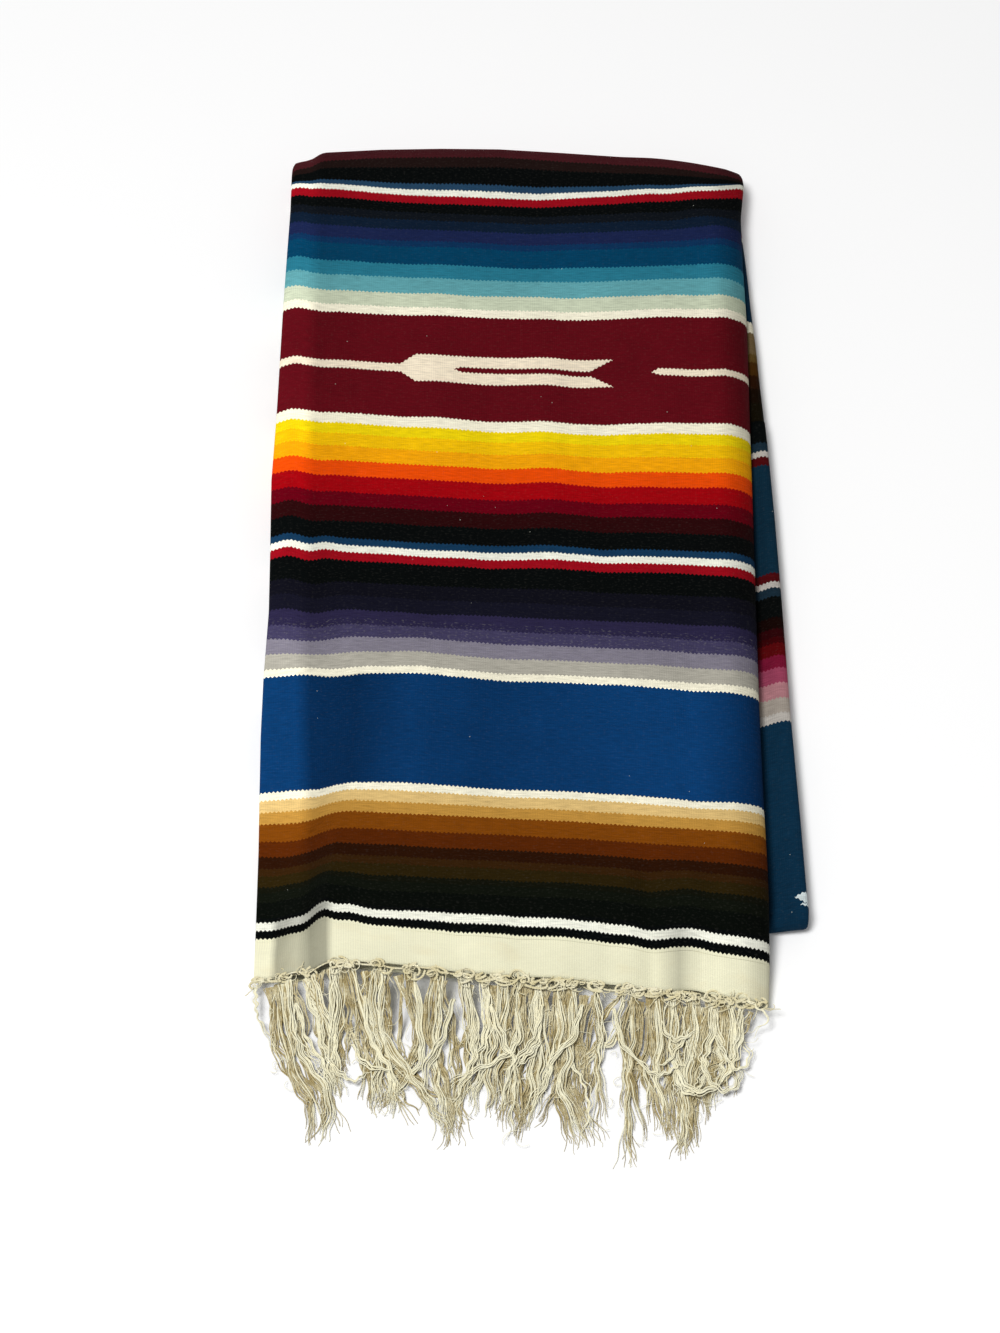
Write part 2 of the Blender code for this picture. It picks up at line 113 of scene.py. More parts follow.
# Troughs (negative) and ridges on the front leaf: from x, y to x, y, then width and depth
creases = {
    "left rim": (-154.0, 320.0, -156.0, -40.0, 7.0, 1.8),
    "rim hollow": (-139.0, 330.0, -136.0, -40.0, 8.0, -1.6),
    "blue hollow": (-116.0, -40.0, -112.0, -130.0, 13.0, -2.0),
    "blue swell": (-72.0, -20.0, -76.0, -135.0, 15.0, 2.2),
    "blue hollow two": (-14.0, -30.0, -18.0, -150.0, 18.0, -2.0),
    "blue swell two": (66.0, 0.0, 70.0, -165.0, 26.0, 3.0),
    "yellow swell": (14.0, 210.0, 10.0, 10.0, 14.0, 2.4),
    "yellow hollow": (50.0, 150.0, 46.0, 20.0, 9.0, -1.4),
    "yellow hollow two": (-24.0, 170.0, -26.0, 10.0, 14.0, -1.6),
    "maroon swell": (-66.0, 120.0, -60.0, 250.0, 14.0, 1.4),
    "maroon hollow": (26.0, 110.0, 30.0, 250.0, 18.0, -1.6),
    "maroon swell two": (86.0, 110.0, 92.0, 250.0, 16.0, 1.6),
    "top swell": (-60.0, 255.0, -40.0, 330.0, 24.0, 1.2),
    "top hollow": (-6.0, 250.0, 10.0, 330.0, 18.0, -1.2),
    "hem hollow one": (-46.0, -262.0, -44.0, -200.0, 9.0, -1.4),
    "hem hollow two": (-9.0, -264.0, -10.0, -205.0, 8.0, -1.4),
    "hem swell two": (18.0, -264.0, 16.0, -190.0, 10.0, 1.4),
    "hem hollow three": (46.0, -266.0, 45.0, -215.0, 7.0, -1.2),
    "hem trough": (74.0, -268.0, 69.0, -175.0, 8.5, -4.0),
    "hem swell": (97.0, -270.0, 94.0, -180.0, 9.0, 3.2),
    "violet trough": (-60.0, 40.0, -64.0, -20.0, 12.0, -1.2),
    "right trough": (100.0, -140.0, 100.0, -20.0, 10.0, -1.2),
    "glare one": (-153.0, -246.0, -144.0, -231.0, 1.9, 1.3),
    "glare two": (-149.0, -251.0, -140.0, -236.0, 1.7, 1.2),
    "glare three": (-146.0, -257.0, -137.0, -246.0, 1.7, 1.1),
    "glare four": (-152.0, -239.0, -146.0, -229.0, 1.6, 0.9),
    "glare five": (-141.0, -248.0, -136.0, -238.0, 1.5, 0.9),
    "edge pucker": (142.0, -60.0, 124.0, -52.0, 5.0, -1.2),
    "edge pucker two": (143.0, 60.0, 128.0, 66.0, 5.0, -1.1),
    "edge pucker three": (144.0, 246.0, 130.0, 240.0, 6.0, -1.4),
    "edge pucker four": (143.0, 176.0, 131.0, 181.0, 4.5, -1.0),
    "edge pucker five": (142.0, -170.0, 128.0, -164.0, 5.0, -1.0),
}
# The same behind the far fold, where y is the way round it in millimetres
rearCreases = {
    "trough": (-129.0, 31.0, -124.0, 56.0, 10.0, -1.3),
    "ridge": (-92.0, 26.0, -99.0, 58.0, 13.0, 1.1),
    "trough two": (-41.0, 34.0, -35.0, 60.0, 8.0, -1.5),
    "ridge two": (7.0, 27.0, 15.0, 49.0, 17.0, 1.2),
    "trough three": (58.0, 25.0, 52.0, 57.0, 12.0, -1.2),
    "trough four": (112.0, 37.0, 107.0, 60.0, 7.0, -1.0),
}
# And under the stack, where they rise off the floor
underCreases = {
    "near": (-70.0, -170.0, -58.0, -60.0, 12.0, 1.1),
    "middle": (44.0, -120.0, 30.0, 70.0, 17.0, 0.9),
    "left": (-118.0, 20.0, -124.0, 160.0, 9.0, 1.2),
    "far": (96.0, 130.0, 88.0, 285.0, 11.0, 0.8),
    "across": (-90.0, 236.0, 20.0, 228.0, 8.0, 1.0),
}
# Where the weft runs ahead of its line (or behind), the same way
pulls = {
    "left rim": (-153.0, 335.0, -152.0, -10.0, 11.0, 4.0),
    "above blue": (-133.0, 44.0, -133.0, 20.0, 8.0, 2.4),
    "blue left": (-143.0, -40.0, -142.0, -150.0, 13.0, 2.6),
    "blue swell": (66.0, 0.0, 70.0, -165.0, 26.0, -1.5),
    "hem ridge": (-127.0, -240.0, -129.0, -195.0, 9.0, 4.8),
    "hem shoulder": (-109.0, -246.0, -111.0, -195.0, 9.0, 2.6),
    "hem left": (-150.0, -258.0, -150.0, -190.0, 9.0, 1.6),
    "right sag": (108.0, -60.0, 106.0, -140.0, 22.0, -1.0),
    "hem sag": (66.0, -262.0, 62.0, -190.0, 16.0, -0.8),
    "edge rise": (145.0, 330.0, 146.0, 300.0, 12.0, 1.5),
    "far dip": (94.0, 290.0, 96.0, 335.0, 12.0, -1.6),
}
cockle = {"wide": 38.0, "height": 0.5, "fine": 9.0, "fineHeight": 0.14}


def asTable(columns, rows):
    return {name: np.array([row[i] for row in rows.values()]) for i, name in enumerate(columns)}


leafTable = asTable(leafColumns, leafRows)
lowerTable = asTable(lowerColumns, lowerRows)


def leaf(name, y):
    return float(np.interp(y, leafTable["y"], leafTable[name]))


def lower(name, y):
    return float(np.interp(y, lowerTable["y"], lowerTable[name]))


def clamp(value):
    return min(max(value, 0.0), 1.0)


def ease(start, end, value):
    part = clamp((value - start) / (end - start))
    return part * part * (3.0 - 2.0 * part)


def between(first, second, share):
    return first + (second - first) * share


def weftY(y, x):  # where the weft line of y passes x: a cubic over the four warps
    ahead = (leaf("aheadLeft", y), 0.0, leaf("aheadMiddle", y), leaf("aheadRight", y))
    total = y
    for warp, share in zip(warps, ahead):
        for other in warps:
            if other != warp:
                share *= (x - other) / (warp - other)
        total += share
    return total + gathered(pulls, x, y)


def lowerY(y, x):  # the lower group is turned, so its lines run ahead at the right
    return y + lower("turn", y) * (x - lower("right", y))


def leafHeight(x, y):
    left, right, ridge = leaf("left", y), leaf("right", y), leaf("ridge", y)
    sink = clamp((ridge - x) / (ridge - left))
    step, slope = np.interp(sink, stepAcross, stepDown), np.interp(sink, slopeAcross, slopeDown)
    drop = float(between(slope, step, ease(leafShape["stepFrom"], leafShape["stepTo"], y)))
    height = stack["height"] - leaf("drop", y) * drop
    far = ease(leafShape["farFrom"], leafShape["farTo"], y)
    wide = between(leafShape["slumpWidth"], leafShape["farSlump"], far)
    height -= leaf("slump", y) * clamp((x - right + wide) / wide) ** 1.8
    nearFold = lowerY(leafShape["overhangLine"], x) + strip["edge"]
    overhang = max(nearFold - weftY(y, x), 0.0)
    fall = leafShape["overhangFall"] * ease(leafShape["overhangFrom"], leafShape["overhangTo"], x)
    return height - fall * overhang


def gathered(table, x, y):  # what the creases or pulls of a table add up to at a spot
    total = 0.0
    for x1, y1, x2, y2, width, size in table.values():
        runX, runY = x2 - x1, y2 - y1
        share = ((x - x1) * runX + (y - y1) * runY) / (runX * runX + runY * runY)
        along = clamp(share)
        away = math.hypot(x - x1 - runX * along, y - y1 - runY * along)
        if away < 3.0 * width:
            total += size * math.exp(-(away / width) ** 2) * ease(-0.2, 0.2, share) * ease(1.2, 0.8, share)
    return total


def relief(x, y):  # the creases and the slight cockling of a hand-woven web
    total = gathered(creases, x, y)
    total += cockle["height"] * noise.noise(Vector((x, y * 0.7, 3.0)) / cockle["wide"])
    total += cockle["fineHeight"] * noise.noise(Vector((x, y, 9.0)) / cockle["fine"])
    return total


def rearRelief(x, turn, radius):  # level where the fold starts and where it comes to the floor
    shown = ease(1.1, 1.6, turn) * ease(math.pi, math.pi - 0.5, turn)
    return gathered(rearCreases, x, turn * radius) * shown


def nearFar(y):  # towards the far fold the stack parts half way up
    return ease(stack["partFrom"], stack["partTo"], y)


def upperFloor(x, y):  # underside of the upper group
    top = leafHeight(x, y)
    low = min(max(top - 2 * stack["ribbon"], stack["rests"]), 2 * stack["ribbon"])
    return between(low, top / 2, nearFar(y))


def stripInner(y):  # where the lower group comes out from under the upper one
    return leaf("right", y) + strip["clear"]


def stripHeight(x, y):
    inner, crest = stripInner(y), lower("right", y) - strip["edge"]
    rise = (strip["crest"] - strip["inner"]) * ease(0.0, strip["wide"], crest - inner)
    return strip["crest"] - rise * (1.0 - ease(inner, crest, x))


def lowerTop(x, y):
    level = 2 * stack["ribbon"]
    if x < 0.0 and y < stack["farLine"]:  # where the upper group sinks, the lower one stays beneath
        level = min(level, max(leafHeight(x, y) - 3.4, 6.0))
    if y < strip["end"]:
        inner = stripInner(y)
        return between(level, stripHeight(x, y), ease(inner - 6.0, inner, x))
    far = leafHeight(min(max(x, leaf("left", y)), leaf("right", y)), stack["farLine"]) / 2
    return between(level, far, nearFar(y))


def farCrest(x):
    return float(np.interp(x, crestAcross, crestLine))


def outermost(depth):  # creases fade in the two outer layers
    return max(1.0 - depth / 2, 0.0)


# A station is a leg of the web's way and a place on it: over the front to the far fold,
# round that, back along the floor, and round the near fold. Depth is in layers, from the
# outer face of the whole stack in to its middle.

def onStack(station, x, depth):
    leg, at = station
    layers = stack["layers"]
    if leg == "front":
        low, top = upperFloor(x, at), leafHeight(x, at)
        y = weftY(min(at, stack["farLine"]), x)
        past = clamp((at - stack["farLine"]) / (stack["farCrest"] - stack["farLine"]))
        face = relief(x, at) * outermost(depth) * (1.0 - past)
        return Vector((x, between(y, farCrest(x), past), top - (top - low) * depth / layers + face))
    if leg == "fold":
        radius = leafHeight(x, stack["farLine"]) / 2
        reach = radius * (1.0 - depth / layers)
        reach += rearRelief(x, at, radius) * outermost(depth)
        return Vector((x, farCrest(x) + reach * math.sin(at), radius + reach * math.cos(at)))
    if leg == "back":
        past = clamp((at - stack["backStart"]) / (stack["farCrest"] - stack["backStart"]))
        y = between(lowerY(min(at, stack["backStart"]), x), farCrest(x), past)
        lift = gathered(underCreases, x, at) * outermost(depth) * (1.0 - past)
        return Vector((x, y, lowerTop(x, at) * depth / layers + lift))
    radius = lowerTop(x, stack["nearLine"]) / 2
    reach = radius * (1.0 - 2 * depth / layers)
    reach -= stack["wall"] * ease(-2.0, 1.0, x - stripInner(stack["nearLine"]))  # under the strip's cloth
    y = lowerY(stack["nearLine"], x) + radius - reach * math.sin(at)
    return Vector((x, y, radius - reach * math.cos(at)))


def onStrip(station, x, depth):  # depth is in millimetres here
    leg, at = station
    if leg == "back":
        return Vector((x, lowerY(at, x), stripHeight(x, at) - depth))
    y = stack["nearLine"]
    radius = stripHeight(x, y) / 2
    reach = radius - depth * strip["corner"]
    return Vector((x, lowerY(y, x) + radius - reach * math.sin(at), radius - reach * math.cos(at)))


def sideX(side, station):  # x of the folded edge, left or right
    leg, at = station
    if leg == "front":
        return leaf(side, at)
    if leg == "fold":
        return between(leaf(side, stack["farLine"]), lower(side, stack["farLine"]), at / math.pi)
    return lower(side, at if leg == "back" else stack["nearLine"])


def pitch(station, x):  # thickness of one layer
    leg, at = station
    if leg == "front":
        return (leafHeight(x, at) - upperFloor(x, at)) / stack["layers"]
    if leg == "fold":
        return leafHeight(x, stack["farLine"]) / 2 / stack["layers"]
    return lowerTop(x, at if leg == "back" else stack["nearLine"]) / stack["layers"]


def way(leg, start, end, step):
    count = max(1, round(abs(end - start) / step))
    return [(leg, between(start, end, i / count)) for i in range(count + 1)]


def lengthwise(station):  # distance from the hem along the outer half of the web
    leg, at = station
    if leg == "front":
        return at - stack["hem"]
    crest = stack["farCrest"] - stack["hem"]
    if leg == "fold":
        return crest + stack["height"] / 2 * at
    crest += stack["height"] / 2 * math.pi
    if leg == "back":
        return crest + stack["farCrest"] - at
    return crest + stack["farCrest"] - stack["nearLine"] + stack["ribbon"] * (at - 1.0)


def innerLengthwise(station):  # the same along the inner half, counted from its own hem
    leg, at = station
    if leg == "front":
        return at - stack["hem"]
    if leg == "fold":
        return stack["farCrest"] - stack["hem"] + stack["ribbon"] / 2 * at
    if leg == "back":
        return bands["stripZero"] - at
    return bands["stripZero"] - stack["nearLine"] + stack["ribbon"] * (math.pi - at - 1.0)


# The x and depth round a folded edge, in from its upper face and back along its lower one
def foldArc(edge, side, middle, half, layer, tuck, steps=8, square=1.0):
    radius = half * layer
    inner = edge - side * radius
    points = [(inner - side * tuck, middle - half), (inner - side * tuck / 2, middle - half)]
    for i in range(steps + 1):
        turn = math.pi * (0.5 - i / steps)
        out, up = math.cos(turn), math.sin(turn)
        points.append((inner + side * radius * abs(out) ** square,
                       middle - half * math.copysign(abs(up) ** square, up)))
    points += [(inner - side * tuck / 2, middle + half), (inner - side * tuck, middle + half)]
    return points if side > 0 else points[::-1]


# A grid of cloth: stations along the warp, and at each one a section across it
def layCloth(bm, stations, section, place, measure, across=1.0):
    weave = bm.loops.layers.uv.get("weave") or bm.loops.layers.uv.new("weave")
    rings = [[(place(station, x, depth), x) for x, depth in section(station)] for station in stations]
    columns = len(rings[0])
    made = bmesh.ops.create_grid(bm, x_segments=columns - 1, y_segments=len(rings) - 1, size=1.0)["verts"]
    spots = {}
    for j, ring in enumerate(rings):
        steps = [0.0] + [(b[0] - a[0]).length for a, b in zip(ring, ring[1:])]
        run = np.cumsum(steps)
        middle = columns // 2
        along = measure(stations[j])
        for i, (point, x) in enumerate(ring):
            vert = made[j * columns + i]
            vert.co = point * mm
            spots[vert] = ((ring[middle][1] + across * (run[i] - run[middle])) * mm, along * mm)
    for face in {face for vert in made for face in vert.link_faces}:
        for loop in face.loops:
            loop[weave].uv = spots[loop.vert]


def makePiece(name, bm, material, wall=0.0):
    mesh = bpy.data.meshes.new(name)
    bm.to_mesh(mesh)
    bm.free()
    mesh.materials.append(material)
    mesh.shade_smooth()
    piece = bpy.data.objects.new(name, mesh)
    bpy.context.scene.collection.objects.link(piece)
    if wall:
        shell = piece.modifiers.new("wall", "SOLIDIFY")
        shell.thickness = wall * mm
        shell.offset = -1.0
    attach(piece, "root")
    return piece


# Shader sums

class Value:  # a node's output, so that sums on it read as sums
    def __init__(self, paint, socket):
        self.paint = paint
        self.socket = socket

    def maths(self, operation, *others):
        return self.paint.node("ShaderNodeMath", {"operation": operation}, dict(enumerate((self, *others))))

    def __add__(self, other):
        return self.maths("ADD", other)

    def __mul__(self, other):
        return self.maths("MULTIPLY", other)

    def __sub__(self, other):
        return self.maths("SUBTRACT", other)

    def __rsub__(self, other):
        return self.maths("MULTIPLY_ADD", -1.0, other)

    def __truediv__(self, other):
        return self.maths("DIVIDE", other)

    def __gt__(self, other):
        return self.maths("GREATER_THAN", other)

    def __lt__(self, other):
        return self.maths("LESS_THAN", other)

    __radd__ = __add__
    __rmul__ = __mul__

    def limited(self, low=0.0, high=1.0):
        return self.maths("MAXIMUM", low).maths("MINIMUM", high)

    def wave(self):  # 0 to 1 and back for each whole step
        return (self * (2 * math.pi)).maths("COSINE") * 0.5 + 0.5


class Paint:
    def __init__(self, name):
        self.material = bpy.data.materials.new(name)
        self.material.use_nodes = True
        self.tree = self.material.node_tree
        self.shader = self.tree.nodes["Principled BSDF"]

    def node(self, kind, settings, inputs, output=0):
        made = self.tree.nodes.new(kind)
        for name, setting in settings.items():
            if name == "stops":
                self.fillRamp(made.color_ramp, setting)
            else:
                setattr(made, name, setting)
        for key, value in inputs.items():
            if isinstance(value, Value):
                self.tree.links.new(value.socket, made.inputs[key])
            else:
                made.inputs[key].default_value = value
        return Value(self, made.outputs[output])

    def fillRamp(self, ramp, stops):
        ramp.interpolation = "CONSTANT"
        for i, (place, colour) in enumerate(stops):
            stop = ramp.elements[i] if i < 2 else ramp.elements.new(place)
            stop.position = place
            stop.color = colour

    def mix(self, share, first, second, blend="MIX"):
        return self.node("ShaderNodeMix", {"data_type": "RGBA", "blend_type": blend},
                         {0: share, 6: first, 7: second}, output=2)

    def vector(self, x, y, z=0.0):
        return self.node("ShaderNodeCombineXYZ", {}, {0: x, 1: y, 2: z})

    def noise(self, vector, detail):
        return self.node("ShaderNodeTexNoise", {}, {"Vector": vector, "Scale": 1.0, "Detail": detail})

    def weaveMap(self):  # across and along the web, in millimetres
        spot = self.node("ShaderNodeUVMap", {"uv_map": "weave"}, {})
        return [self.node("ShaderNodeSeparateXYZ", {}, {0: spot}, output=i) * 1000.0 for i in (0, 1)]

    def finish(self, colour, height, depth, **facing):
        inputs = {"Strength": 1.0, "Distance": depth * mm, "Height": height, **facing}
        bump = self.node("ShaderNodeBump", {}, inputs)
        self.tree.links.new(colour.socket, self.shader.inputs["Base Color"])
        self.tree.links.new(bump.socket, self.shader.inputs["Normal"])
        self.shader.inputs["Roughness"].default_value = 0.95
        self.shader.inputs["Specular IOR Level"].default_value = 0.04
        return self.material


dyeDepth = 0.9


def fromScreen(value):  # a dye's screen value, 0 to 255, as light
    part = value / 255
    return dyeDepth * (part / 12.92 if part <= 0.04045 else ((part + 0.055) / 1.055) ** 2.4)


def dye(red, green, blue):
    return (fromScreen(red), fromScreen(green), fromScreen(blue), 1.0)


# Dyes and stripes

dyes = {name: dye(*screen) for name, screen in {
    "band cream": (252, 249, 216), "cream": (260, 254, 228), "white": (254, 254, 238),
    "black": (6, 9, 9), "green black": (7, 11, 7), "moss": (14, 18, 10),
    "dark olive": (17, 18, 8), "olive": (42, 31, 7), "earth": (53, 31, 8),
    "dark brown": (43, 18, 4), "rust": (90, 38, 4), "golden brown": (130, 69, 9),
    "gold": (198, 147, 65), "straw": (232, 197, 128), "indigo blue": (8, 53, 99),
    "beige": (182, 178, 165), "lavender": (134, 129, 143), "violet": (67, 62, 94),
    "dark violet": (44, 39, 70), "night": (20, 20, 34), "purple black": (15, 15, 25),
    "red": (160, 11, 27), "sky": (20, 58, 90), "brown black": (44, 7, 9),
    "dark red": (103, 0, 18), "scarlet": (166, 4, 14), "orange": (245, 80, 6),
    "amber": (255, 172, 9), "yellow": (255, 200, 9), "lemon": (252, 222, 12),
    "maroon": (99, 12, 23), "pale green": (211, 220, 192), "aqua": (100, 170, 178),
    "teal": (42, 125, 148), "deep blue": (3, 66, 100), "ink blue": (13, 52, 92),
    "navy": (27, 38, 78), "night navy": (14, 30, 50), "blue black": (15, 20, 27),
    "bright blue": (38, 70, 98), "umber black": (32, 19, 17), "red brown": (72, 26, 31),
    # Dyes painted darker for the shade of the upper group over the right inner fold and the lower group's
    # strip: tan to bog, the sky, white, red and blue of the strip, soot red, oxblood, blood and warm grey
    "tan": (134, 112, 76), "shaded gold": (110, 85, 40), "umber": (81, 49, 11),
    "peat": (49, 22, 5), "loam": (28, 13, 2), "bog": (24, 18, 4),
    "shaded sky": (26, 45, 58), "shaded white": (192, 186, 178), "shaded red": (78, 10, 15),
    "soot red": (22, 5, 3), "oxblood": (47, 3, 7), "blood": (60, 2, 6), "wine": (92, 7, 11),
    "rose": (121, 21, 50), "pink": (154, 66, 92), "light pink": (180, 125, 131),
    "warm grey": (168, 158, 147), "field blue": (13, 48, 72), "shaded blue": (14, 44, 62),
    "arrow cream": (254, 239, 212), "pale tip": (226, 238, 238),
    "pale yarn": (267, 264, 236), "yarn": (262, 254, 216), "shaded yarn": (188, 169, 118),
    "pale cord": (262, 257, 228), "shaded cord": (232, 220, 174),
}.items()}

# Each stripe from the hem to the middle of the web, and its width
stripes = (
    ("band cream", 22.6), ("black", 5.4), ("white", 4.3), ("black", 3.0), ("green black", 9.6),
    ("moss", 6.7), ("dark olive", 4.2), ("olive", 8.1), ("earth", 5.0), ("dark brown", 6.8),
    ("rust", 10.3), ("golden brown", 11.8), ("gold", 8.6), ("straw", 7.4), ("cream", 5.4),
    ("indigo blue", 76.8), ("cream", 4.3), ("beige", 10.1), ("lavender", 10.8),
    ("violet", 9.5), ("dark violet", 10.2), ("night", 10.0), ("purple black", 10.0), ("black", 15.4),
    ("red", 6.8), ("white", 4.4), ("sky", 6.0), ("black", 12.8), ("brown black", 10.6),
    ("dark red", 11.4), ("scarlet", 11.5), ("orange", 12.3), ("amber", 9.8), ("yellow", 9.9),
    ("lemon", 8.9), ("cream", 7.0),
    ("maroon", 81.5), ("cream", 7.4), ("pale green", 10.3), ("aqua", 13.6), ("teal", 11.2),
    ("deep blue", 13.2), ("ink blue", 6.2), ("navy", 9.5), ("night navy", 6.6), ("blue black", 6.6),
    ("black", 7.8), ("red", 6.8), ("white", 4.7), ("bright blue", 5.2), ("black", 13.0),
    ("umber black", 8.1), ("red brown", 11.1), ("dark red", 11.0), ("wine", 12.0), ("rose", 12.0),
    ("pink", 10.0), ("light pink", 6.0), ("white", 5.0), ("field blue", 70.7), ("cream", 8.3),
    # From here on the stripes lie on the right inner fold and the strip, mostly in dyes painted darker for
    # the shade there
    ("tan", 16.5), ("shaded gold", 6.6), ("umber", 10.4), ("peat", 11.0), ("loam", 11.5),
    ("bog", 14.0), ("black", 17.7), ("shaded sky", 6.1), ("shaded white", 5.6), ("shaded red", 5.3),
    ("shaded blue", 82.4), ("shaded red", 7.8), ("shaded white", 4.9), ("shaded sky", 6.6), ("black", 13.6),
    ("soot red", 8.2), ("oxblood", 8.1), ("blood", 3.1), ("wine", 10.0), ("rose", 8.6),
    ("pink", 10.3), ("light pink", 10.4), ("warm grey", 12.1), ("shaded white", 6.2), ("field blue", 250.0),
)
bands = {"perRamp": 30, "stripZero": 965.2, "tooth": 2.6, "toothHeight": 1.1, "wander": 0.9}

# The cream arrow on the maroon field, built about its axis: (across, half its width) from end to end
arrow = {
    "axis": 428.0,
    "end": 55.0,
    "body": ((-85.0, 3.0), (-75.0, 10.5)),
    "slit": ((-50.0, 0.0), (-45.0, 2.0), (40.0, 2.0), (55.0, 10.5)),
    "tail": ((80.0, 0.0), (85.0, 2.5)),
}


def outline(across, points):  # the height of an edge that runs through a few points
    height = points[0][1]
    for (x1, y1), (x2, y2) in zip(points, points[1:]):
        height = (across - x1).limited(0.0, x2 - x1) * ((y2 - y1) / (x2 - x1)) + height
    return height


def inside(along, low, high):
    return (along > low) * (along < high)


# The point of such a figure, and a thin barb beside it, at the near right corner of the lower group
starter = {
    "axis": 1165.0,
    "point": ((159.0, 0.0), (165.0, 3.5)),
    "barbAxis": 1170.0,
    "barb": ((162.0, 0.0), (165.0, 1.0)),
}


def aboutAxis(across, along, axis, points):  # 1 within the half width of a figure
    return (along - axis).maths("ABSOLUTE") < outline(across, points)


def starterMask(across, along):
    point = aboutAxis(across, along, starter["axis"], starter["point"])
    return (point + aboutAxis(across, along, starter["barbAxis"], starter["barb"])).limited()


def arrowMask(across, along):
    body = aboutAxis(across, along, arrow["axis"], arrow["body"])
    slit = aboutAxis(across, along, arrow["axis"], arrow["slit"])
    tail = aboutAxis(across, along, arrow["axis"], arrow["tail"])
    return (body * (across < arrow["end"]) * (1.0 - slit) + tail).limited()


# The along value as the weave steps it: colours meet in a row of small teeth
def serrated(paint, across, along):
    tooth = bands["tooth"]
    teeth = ((across / tooth).maths("FRACT") - 0.5).maths("ABSOLUTE") * (2 * bands["toothHeight"])
    cell = (across / tooth).maths("FLOOR")
    uneven = paint.noise(paint.vector(cell * 0.73, (along / 40.0).maths("FLOOR") * 1.7), 1.0)
    wander = paint.noise(paint.vector(across / 45.0, along / 30.0), 1.0)
    return along + teeth + (uneven - 0.5) * bands["toothHeight"] + (wander - 0.5) * (2 * bands["wander"])


def stripeColour(paint, along):
    starts, total = [], 0.0
    for name, width in stripes:
        starts.append((total, dyes[name]))
        total += width
    colour = None
    for first in range(0, len(starts), bands["perRamp"]):
        group = starts[first:first + bands["perRamp"]]
        low = group[0][0]
        high = starts[first + len(group)][0] if first + len(group) < len(starts) else total
        stops = [((start - low) / (high - low), shade) for start, shade in group]
        part = paint.node("ShaderNodeValToRGB", {"stops": stops}, {0: (along - low) / (high - low)})
        colour = part if colour is None else paint.mix(along > low, colour, part)
    return colour


# Painted light and shade of the folds, as (across, tone): near the hem, in the wide blue stripe and elsewhere
paintedFoldShade = {
    "hem": ((-170.0, 1.1), (-165.0, 0.5), (-150.0, 0.65), (-140.0, 0.4), (-125.0, 0.45), (-120.0, 1.0),
            (75.0, 1.0), (90.0, 0.6), (105.0, 1.15), (130.0, 1.0), (140.0, 0.7)),
    "blue": ((-150.0, 1.6), (-140.0, 0.8), (-110.0, 0.7), (-75.0, 1.2), (-30.0, 1.0), (50.0, 1.3),
             (100.0, 1.5), (125.0, 1.0), (140.0, 0.6)),
    "field": ((-150.0, 1.3), (-140.0, 0.9), (-110.0, 1.0), (120.0, 1.0), (140.0, 0.65)),
    "hemTop": 34.0, "blueFrom": 119.2, "blueTo": 196.0,
}


# The painted light and shade of the folds at a spot: the hem list near the hem, the blue list in the wide
# blue stripe, the field list elsewhere
def paintedFoldTone(across, along):
    inBlue = inside(along, paintedFoldShade["blueFrom"], paintedFoldShade["blueTo"])
    atHem = along < paintedFoldShade["hemTop"]
    rest = (1.0 - inBlue) - atHem
    return (outline(across, paintedFoldShade["field"]) * rest + outline(across, paintedFoldShade["blue"]) * inBlue
            + outline(across, paintedFoldShade["hem"]) * atHem)


weave = {
    "rib": 1.45, "pick": 0.62, "depth": 0.22,    # spacing of warps and picks, and how deep they show
    "streak": 8.0, "clouded": 0.3, "ribbed": 0.05, "fleckFrom": 0.56,
    "lint": 7.5, "lintSize": 0.038, "lintChance": 0.88,
}


# Ribs over the warps, uneven yarn along the picks, flecks and lint: gives colour and height
def wovenLook(paint, across, along, colour, streaked, flecked, tone):
    pick = along / weave["pick"]
    row = pick.maths("FLOOR") * 0.5
    bead = (across / (2 * weave["rib"]) + row).wave()
    rib = (across / weave["rib"]).wave()
    height = bead * (0.6 + 0.4 * pick.wave()) * 0.6 + rib * 0.4
    streaks = paint.noise(paint.vector(across / weave["streak"], along / 0.9), 2.0)
    clouds = paint.noise(paint.vector(across / 55.0, along / 35.0), 2.0)
    flecks = paint.noise(paint.vector(across / 2.2, along / 1.0, 4.0), 1.0)
    uneven = (1.0 + (streaks - 0.5) * streaked) * (1.0 + (clouds - 0.5) * weave["clouded"])
    shade = (1.0 - weave["ribbed"] + weave["ribbed"] * 2 * rib) * uneven * tone
    colour = paint.mix(1.0, colour, shade, "MULTIPLY")
    lifted = ((flecks - weave["fleckFrom"]) * 5.0).limited() * flecked
    colour = paint.mix(lifted, colour, dyes["beige"])
    cells = {"Vector": paint.vector(across / weave["lint"], along / weave["lint"]), "Scale": 1.0}
    spot = paint.node("ShaderNodeTexVoronoi", {}, cells)
    draw = paint.node("ShaderNodeTexVoronoi", {}, cells, output=1)
    chance = paint.node("ShaderNodeSeparateColor", {}, {0: draw})
    lint = (spot < weave["lintSize"]) * (chance > weave["lintChance"]) * 0.5
    return paint.mix(lint, colour, dyes["white"]), height


def stripedWeb(name, mask, figure, withPaintedShade):
    paint = Paint(name)
    across, along = paint.weaveMap()
    stepped = serrated(paint, across, along)
    colour = stripeColour(paint, stepped)
    colour = paint.mix(mask(across, stepped), colour, dyes[figure])
    streaked = (along > stripes[0][1]) * 0.66 + 0.1
    flecked = inside(along, paintedFoldShade["blueTo"], 235.0) * 0.14 + 0.022
    # The front's web takes the painted light and shade of the folds as its tone
    tone = paintedFoldTone(across, along) if withPaintedShade else 1.0
    colour, height = wovenLook(paint, across, along, colour, streaked, flecked, tone)
    return paint.finish(colour, height, weave["depth"])


